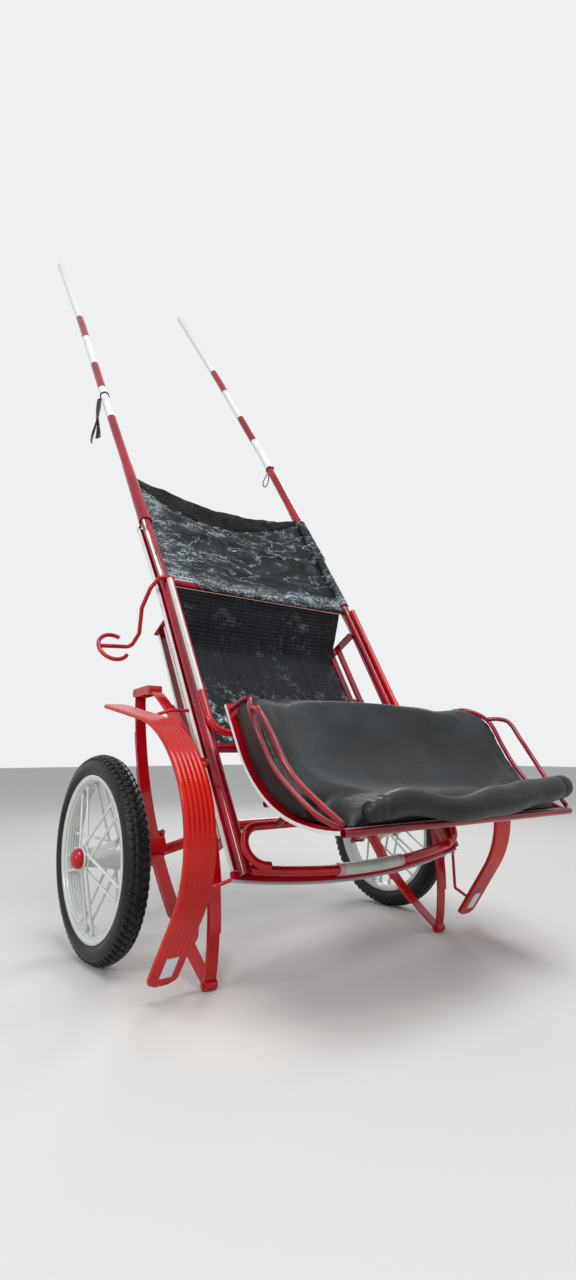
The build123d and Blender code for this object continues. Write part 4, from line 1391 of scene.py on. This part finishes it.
def tarp_brim(x):
    return tarp_top - tarp_sag * (1 - (x / tarp_right) ** 2)


def shaft_plane(reach):
    return frame_height - shaft_slope * (reach - level_end)


print("the sheet is", round(tarp_right - tarp_left, 3), "m wide and", round(tarp_top - tarp_start, 3), "m long")


# %% The sheet's height: the shafts' plane, its belly, its folds and the hump over the crossbar
def tarp_roughness(x, reach):
    """Crumples of three sizes."""
    broad = 0.010 * noise.noise(Vector((x * 8, reach * 17, 0.3)))
    fine = 0.004 * noise.noise(Vector((x * 30, reach * 38, 1.3)))
    sharp = 0.006 * abs(noise.noise(Vector((x * 6, reach * 30, 9.3))))
    return broad + fine + sharp


def tarp_height(x, reach, up):
    """The height above the axle; up is 0 at the crossbar and 1 at the brim."""
    across_share = (x - tarp_left) / (tarp_right - tarp_left)
    hold = min(1.0, 7 * min(across_share, 1 - across_share)) * min(1.0, 9 * up)
    belly = -0.022 * math.sin(math.pi * across_share) * math.sin(math.pi * min(up, 1.0)) ** 0.7
    diagonal = (1 - up) * 1.2 - across_share * 3.0
    folds = 0.006 * math.sin(diagonal * 9) * math.exp(-across_share * 4)
    folds += 0.0045 * math.sin(up * 20 + across_share * 3) * (1 - up)
    ridge = 0.007 * math.exp(-(((up - 0.80 + across_share * 0.32) / 0.035) ** 2))
    hump = 0.0158 * math.exp(-(((reach - crossbar_reach) / 0.017) ** 2))
    loose = (folds + ridge + tarp_roughness(x, reach)) * hold
    return shaft_plane(reach) + belly * min(1.0, 8 * up) + loose + hump


def tarp_point(across_share, up_share):
    x = tarp_left + (tarp_right - tarp_left) * across_share
    foot = tarp_foot(x)
    reach = foot + (tarp_brim(x) - foot) * up_share
    up = max(0.0, (reach - tarp_start) / (tarp_brim(x) - tarp_start))
    return at(x, reach, tarp_height(x, reach, up))


# %% The sheet
tarp_rows = 84
tarp_columns = 120
tarp_thickness = 0.0014
rows = [
    [tarp_point(column / tarp_columns, row / tarp_rows) for column in range(tarp_columns + 1)]
    for row in range(tarp_rows + 1)
]
tarp = new_object("crinkled_dash_tarp", new_mesh("tarp", *skin(rows)), tarp_finish)
thicken(tarp, tarp_thickness)
print("the sheet has", len(tarp.data.vertices), "points")

# %% The hem, a flattened tube of three layers along the top edge
hem_places = 90
hem_sides = 14
hem_narrow = 0.030
hem_swell = 0.074
hem_half_thickness = 0.0055
hem_turns = [math.tau * k / hem_sides for k in range(hem_sides)]
rows = []
for number in range(hem_places + 1):
    share = number / hem_places
    x = tarp_left + (tarp_right - tarp_left) * number / hem_places
    brim = tarp_brim(x)
    depth = (hem_narrow + hem_swell * math.sin(math.pi * share**0.62)) / 2
    row = []
    for turn in hem_turns:
        flat, thick = math.cos(turn), math.sin(turn)
        reach = brim - depth + flat * depth
        up = (reach - tarp_start) / (brim - tarp_start)
        ripple = 0.0012 * math.sin(x * 95 + flat * 2) + 0.0014 * math.sin(flat * 9 + x * 6)
        row.append(at(x, reach, tarp_height(x, reach, up) + thick * (hem_half_thickness + ripple)))
    rows.append(row)
hem = new_object("rolled_tarp_hem", new_mesh("hem", *skin(rows, across_ends=True, capped=True)), hem_finish)
fit(hem, "frame")

# %% The right edge, wrapped over the right shaft and its socket
wrap_rows = 60
wrap_columns = 22
wrap_low, wrap_high = 0.800, 1.335
wrap_start = 185
socket_low, socket_high = 1.083, 1.430
socket_taper = 0.345
socket_radius = 0.0195
socket_swell = 0.005


def socket_at(reach):
    """The radius of the socket that holds the front shaft, widest at its rear end, and 0 behind it."""
    wide = max(0.0, min(1.0, (socket_high - reach) / socket_taper))
    return wide * socket_swell + socket_radius if reach > socket_low else 0.0


rows = []
for number in range(wrap_rows + 1):
    reach = wrap_low + (wrap_high - wrap_low) * number / wrap_rows
    round_shaft = max(shaft_radius, socket_at(reach)) + 0.0030
    degrees_round = 190 - 40 * (number / wrap_rows) ** 2 + 10 * noise.noise(Vector((reach * 20, 0, 4)))
    row = []
    for column in range(wrap_columns + 1):
        angle = math.radians(wrap_start - degrees_round * column / wrap_columns)
        radius = round_shaft + 0.0016 * (1 + noise.noise(Vector((reach * 60, column * 0.5, 7))))
        height = shaft_plane(reach) + radius * math.sin(angle)
        row.append(at(shaft_x + radius * math.cos(angle), reach, height))
    rows.append(row)
wrap = new_object("tarp_wrap_right", new_mesh("wrap", *skin(rows)), tarp_finish)
thicken(wrap, tarp_thickness)
fit(wrap, "frame")

# %% The sheet of cloth as it was cut
fit(tarp, "frame", ["dash_tarp"])

# %% [markdown]
# ## The floor net
# The foot well is closed by shade netting between its rails, and at the front it climbs to the crossbar.
# It is one sheet of close weave with long threads that show as fine streaks.

# %% Netting
net_dark = rgb(6, 7, 9)
net_light = rgb(50, 54, 60)
warp_pitch = 0.0105
weft_pitch = 0.0095


def make_net():
    finish = Finish("shade netting", Specular_IOR_Level=0.15)
    up_net = distance_forward(finish)
    warp = (sideways(finish) * (math.tau / warp_pitch)).maths("SINE") * 0.5 + 0.5
    weft = (up_net * (math.tau / weft_pitch)).maths("SINE") * 0.5 + 0.5
    streaks = finish.noise(60, 3, 0.6, (1.6, 0.12, 0.12))
    thread = finish.ease(warp.maths("MAXIMUM", weft) * 0.7 + streaks * 0.6, 0.55, 1.15)
    # The pale specks are painted glints of water on the wet net, most of them on its lower part; the water also
    # makes those spots smoother.
    low_part = finish.ease(up_net + finish.noise(5, 2) * 0.15, 0.56, 0.40)
    patches = finish.ease(finish.noise(5, 2), 0.45, 0.7) * 0.25 + low_part
    wet_glints = finish.ease(finish.noise(32, 8, 0.8), 0.51, 0.62) * patches
    tone = finish.mix(thread, net_dark, net_light)
    finish.feed("Base Color", finish.mix(wet_glints * (0.35 + thread * 0.6), tone, painted_glint_white))
    finish.feed("Roughness", 0.62 - wet_glints * 0.3)
    finish.bump(thread, 0.6, 0.0015)
    return finish.material


net_finish = make_net()
print(net_finish.name, "has", len(net_finish.node_tree.nodes), "nodes")

# %% The net
net_low, net_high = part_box("floor_net")
net_half = (net_high.x - net_low.x) / 2
net_side = ((0.7600, 0.4222), (0.6950, 0.3575), (0.6240, 0.2868), (0.5500, 0.2860), (0.2060, 0.2860))
net_line = smooth_path(net_side, 20)
net_columns = 80
net_thickness = 0.0016
rows = []
for number, (reach, height) in enumerate(net_line):
    hold = min(1.0, number / 8)
    row = []
    for column in range(net_columns + 1):
        share = 2 * column / net_columns - 1
        x = share * net_half
        sag = -0.006 * (1 - share * share) + 0.003 * noise.noise(Vector((x * 7, number * 0.09, 2.0)))
        row.append(at(x, reach, height + sag * hold))
    rows.append(row)
net = new_object("woven_floor_net", new_mesh("net", *skin(rows)), net_finish)
thicken(net, net_thickness)
fit(net, "frame", ["floor_net"])

# %% [markdown]
# ## The strap and the wire
# A doubled strap of cracked leather is looped round the left shaft and hangs straight down, and a twist of
# thin wire hangs from the right one. Both are laid out in the room: a strap is a ribbon whose two long
# sides are known at every point of its path, and a wire is a thin tube.

# %% Leather
def make_leather():
    finish = Finish("cracked leather", Specular_IOR_Level=0.45)
    cracks = finish.ease(finish.cells(150, "DISTANCE_TO_EDGE", (1, 1, 0.4)), 0.05, 0.0)
    pale = finish.ease(finish.noise(45, 4, 0.7), 0.55, 0.68)
    tone = finish.mix(finish.noise(20, 3), rgb(26, 18, 16), rgb(58, 40, 34))
    cracked = finish.mix(cracks, tone, rgb(14, 10, 9))
    finish.feed("Base Color", finish.mix(pale * 0.75, cracked, rgb(168, 142, 138)))
    finish.feed("Roughness", 0.5 + pale * 0.2)
    finish.bump(finish.noise(90, 4) - cracks * 0.6, 0.5, 0.001)
    return finish.material


leather = make_leather()
print(leather.name, "has", len(leather.node_tree.nodes), "nodes")


# %% A ribbon along a path
def ribbon(path, widths, thickness):
    """A flat strip; widths gives the half width as a vector for each point of the path."""
    rows = []
    for number, (point, half) in enumerate(zip(path, widths)):
        ahead = path[min(number + 1, len(path) - 1)] - path[max(number - 1, 0)]
        out = ahead.cross(half).normalized() * thickness / 2
        edge = half * 0.9
        offsets = (-half, out - edge, out + edge, half, edge - out, -edge - out)
        rows.append([point + offset for offset in offsets])
    return skin(rows, across_ends=True, capped=True)


# %% Where a shaft's middle is, and a ring round it
shaft_corners = (
    (level_end, shaft_x, 0.431),
    (1.850, shaft_x, 0.361),
    (2.650, 0.402, 0.297),
    (3.450, 0.389, 0.214),
)


def shaft_middle(sign, reach):
    """The middle of a shaft, between the corners that it has in the level drawing."""
    for (low, x_low, z_low), (high, x_high, z_high) in zip(shaft_corners, shaft_corners[1:]):
        if reach <= high:
            share = (reach - low) / (high - low)
            return at(sign * (x_low + (x_high - x_low) * share), reach, z_low + (z_high - z_low) * share)


def shaft_directions(sign, reach):
    """The directions along, beside and above a shaft."""
    along = (shaft_middle(sign, reach + 0.02) - shaft_middle(sign, reach)).normalized()
    beside = along.cross(Vector((0, 0, 1))).normalized()
    return along, beside, beside.cross(along).normalized()


def ring_round(middle, beside, above, radius, steps):
    turns = [math.tau * k / steps for k in range(steps + 1)]
    return [middle + (beside * math.cos(t) + above * math.sin(t)) * radius for t in turns]


# %% The strap, two layers that part a little at their ends, and its band
strap_reach = 1.950
strap_steps = 26
strap_layers = ((-1, 0.232, 0.010), (1, 0.205, 0.012))
strap_start = 0.0195
strap_thickness = 0.005
band_radius = 0.0198
band_half = 0.0050
band_thickness = 0.0028
strap_top = shaft_middle(-1, strap_reach)
along, beside, above = shaft_directions(-1, strap_reach)
level_along = Vector((along.x, along.y, 0)).normalized()
straps = []
for layer, length, spread in strap_layers:
    path, widths = [], []
    for step in range(strap_steps + 1):
        share = step / strap_steps
        drop = strap_start + (length - strap_start) * share
        twist = 0.5 * math.sin(share * 3.0 + layer)
        gap = layer * (0.0022 + spread * share**2 + 0.002 * math.sin(share * 9))
        path.append(strap_top + Vector((-0.020 - 0.016 * share, 0, -drop)) + beside * gap)
        half = 0.0120 + 0.004 * share
        widths.append((level_along * math.cos(twist) + beside * math.sin(twist)) * half)
    straps.append(new_mesh("strap", *ribbon(path, widths, strap_thickness)))
band = ring_round(strap_top, beside, above, band_radius, 40)
straps.append(new_mesh("band", *ribbon(band, [along * band_half] * len(band), band_thickness)))
fit(new_object("leather_strap", joined("leather_strap", straps), leather), "frame", ["shaft_strap"])

# %% The twist of wire on the right shaft
wire_reach = 1.763
wire_ring_radius = 0.0200
wire_radius = 0.0026
wire_top = shaft_middle(1, wire_reach)
_, beside, above = shaft_directions(1, wire_reach)
ring = ring_round(wire_top, beside, above, wire_ring_radius, 24)
hang = wire_top - above * wire_ring_radius
low = hang + Vector((-0.020, -0.004, -0.082))
loop = [
    hang,
    hang + Vector((-0.012, 0, -0.020)),
    low + Vector((-0.014, 0, 0.020)),
    low + Vector((-0.006, 0, 0)),
    low + Vector((0.010, 0, 0.014)),
    hang + Vector((0.004, 0, -0.034)),
    hang,
]
wire_finish = painted("dark wire", rgb(30, 22, 22), rgb(18, 14, 14), dust=0.05, coat=0.05)
wires = [new_mesh("wire", *tube(path, wire_radius, 8)) for path in (ring, smooth_path(loop, 8))]
fit(new_object("wire_twist", joined("wire_twist", wires), wire_finish), "frame")

# %% [markdown]
# ## Nuts and weld beads
# Hexagon nuts hold the springs on the axle and under the frame, and the frame's joints have rippled weld
# beads. One Geometry Nodes tree puts a template at each point of a cloud, turned the same way, so the nuts
# are one cloud and the beads' ripples are another.

# %% A tree that puts a template on points
def cloud_tree():
    graph, given = started_tree("copies on points", Turn="Vector")
    return ended_tree(graph, given, given["Geometry"], given["Turn"])


def copied_to(places, name, template, turn):
    """One mesh of the template's copies at these places."""
    cloud = bpy.data.meshes.new(name + " places")
    cloud.from_pydata([tuple(place) for place in places], [], [])
    return grown(name, copies_on_points, template, cloud, Turn=turn, Finish=red_paint)


copies_on_points = cloud_tree()
print(copies_on_points.name, "has", len(copies_on_points.nodes), "nodes")


# %% A hexagon nut with rounded corners, its axis upwards
nut_flats = 0.0160
nut_height = 0.0072
nut_levels = ((0.0, 0.90), (0.12, 1.0), (0.88, 1.0), (1.0, 0.90))


def nut_shape():
    turns = [math.radians(60 * k) for k in range(6)]
    rows = []
    for level, share in nut_levels:
        corner = nut_flats / math.sqrt(3) * share
        rows.append([(corner * math.cos(t), corner * math.sin(t), nut_height * level) for t in turns])
    return template_object("nut", new_mesh("nut", *skin(rows, across_ends=True, capped=True)))


# %% The springs' nuts
spring_x = 0.456
bolt_steps = [(dx, dy) for dx in (-0.024, 0.024) for dy in (-0.028, 0.028)]
nut_rows = ((0.0, 0.0740), (0.0, -0.0312), (0.010, 0.3608))
nut_places = [
    at(sign * spring_x + dx, reach + dy, height)
    for _, sign in sides
    for reach, height in nut_rows
    for dx, dy in bolt_steps
]
mesh = copied_to(nut_places, "spring_nuts", nut_shape(), (tip_turn, 0, 0))
fit(new_object("spring_nuts", mesh, red_paint, smooth=False), "frame")

# %% Ripples of weld where the cross tubes meet the shafts
bead_count = 20
bead_radius = 0.0030
bead_sunk = 0.0015
bead_joints = (
    (0.122, frame_height, 0.0148),
    (crossbar_reach, shaft_plane(crossbar_reach), 0.0133),
)
short_beads = (0.220, 0.470, 0.715)
short_count = 7
short_pitch = 0.005
short_height = frame_height + shaft_radius - 0.0002
bead_places = []
for _, sign in sides:
    for reach, height, radius in bead_joints:
        for k in range(bead_count):
            turn = math.tau * k / bead_count
            rise = radius * math.sin(turn)
            touch = shaft_x - math.sqrt(shaft_radius**2 - rise**2)
            bead_places.append(at(sign * (touch - bead_sunk), reach + radius * math.cos(turn), height + rise))
    for start in short_beads:
        for k in range(short_count):
            bead_places.append(at(sign * (shaft_x + 0.0045), start + k * short_pitch, short_height))
lump = bpy.data.meshes.new("lump")
shape = bmesh.new()
bmesh.ops.create_icosphere(shape, subdivisions=1, radius=bead_radius)
shape.to_mesh(lump)
shape.free()
mesh = copied_to(bead_places, "weld_beads", template_object("lump", lump), (0, 0, 0))
fit(new_object("weld_beads", mesh, red_paint), "frame")

# %% [markdown]
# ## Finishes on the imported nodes
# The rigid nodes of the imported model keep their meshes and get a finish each. Most are crimson, so a table
# names only the others, from the finish to the nodes that wear it.

# %% The seat board
def make_board():
    finish = Finish("weathered plywood", Specular_IOR_Level=0.3)
    grain = finish.noise(30, 6, 0.65, (0.25, 3, 3))
    finish.feed("Base Color", finish.mix(finish.ease(grain, 0.35, 0.7), rgb(58, 44, 34), rgb(112, 90, 68)))
    finish.feed("Roughness", 0.62 + grain * 0.2)
    finish.bump(grain, 0.3, 0.001)
    return finish.material


board_finish = make_board()
print(board_finish.name, "has", len(board_finish.node_tree.nodes), "nodes")

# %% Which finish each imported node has
bright_names = ("spring_upper", "spring_lower", "spring_links", "spring_seat", "axle_clamp", "fender_stays")
node_finishes = {
    shaft_paint: ("shaft_rear_left", "shaft_rear_right"),
    banded_paint: ("shaft_front_left", "shaft_front_right"),
    strip_paint: ("edge_strip_left", "edge_strip_right"),
    tail_paint: ("edge_strip_tail",),
    rail_paint: ("floor_side_left", "floor_side_right"),
    rod_paint: ("seat_loop_front",),
    bright_paint: ("seat_loop_rear", "step_left", "axle", "tail_tube")
    + tuple(f"{name}_{side}" for side, _ in sides for name in bright_names),
    bar_paint: ("seat_side_bar_left", "seat_side_bar_right"),
    socket_paint: ("shaft_clamps_left", "shaft_clamps_right"),
    white_paint: ("hub_left", "hub_right"),
    sleeve_paint: ("tail_sleeve",),
    board_finish: ("seat_board",),
}
finish_of = {name: finish for finish, names in node_finishes.items() for name in names}
for name, node in nodes.items():
    node.data.materials.clear()
    node.data.materials.append(finish_of.get(name, red_paint))
print(len(finish_of), "nodes have a finish of their own, and", len(nodes) - len(finish_of), "are crimson")
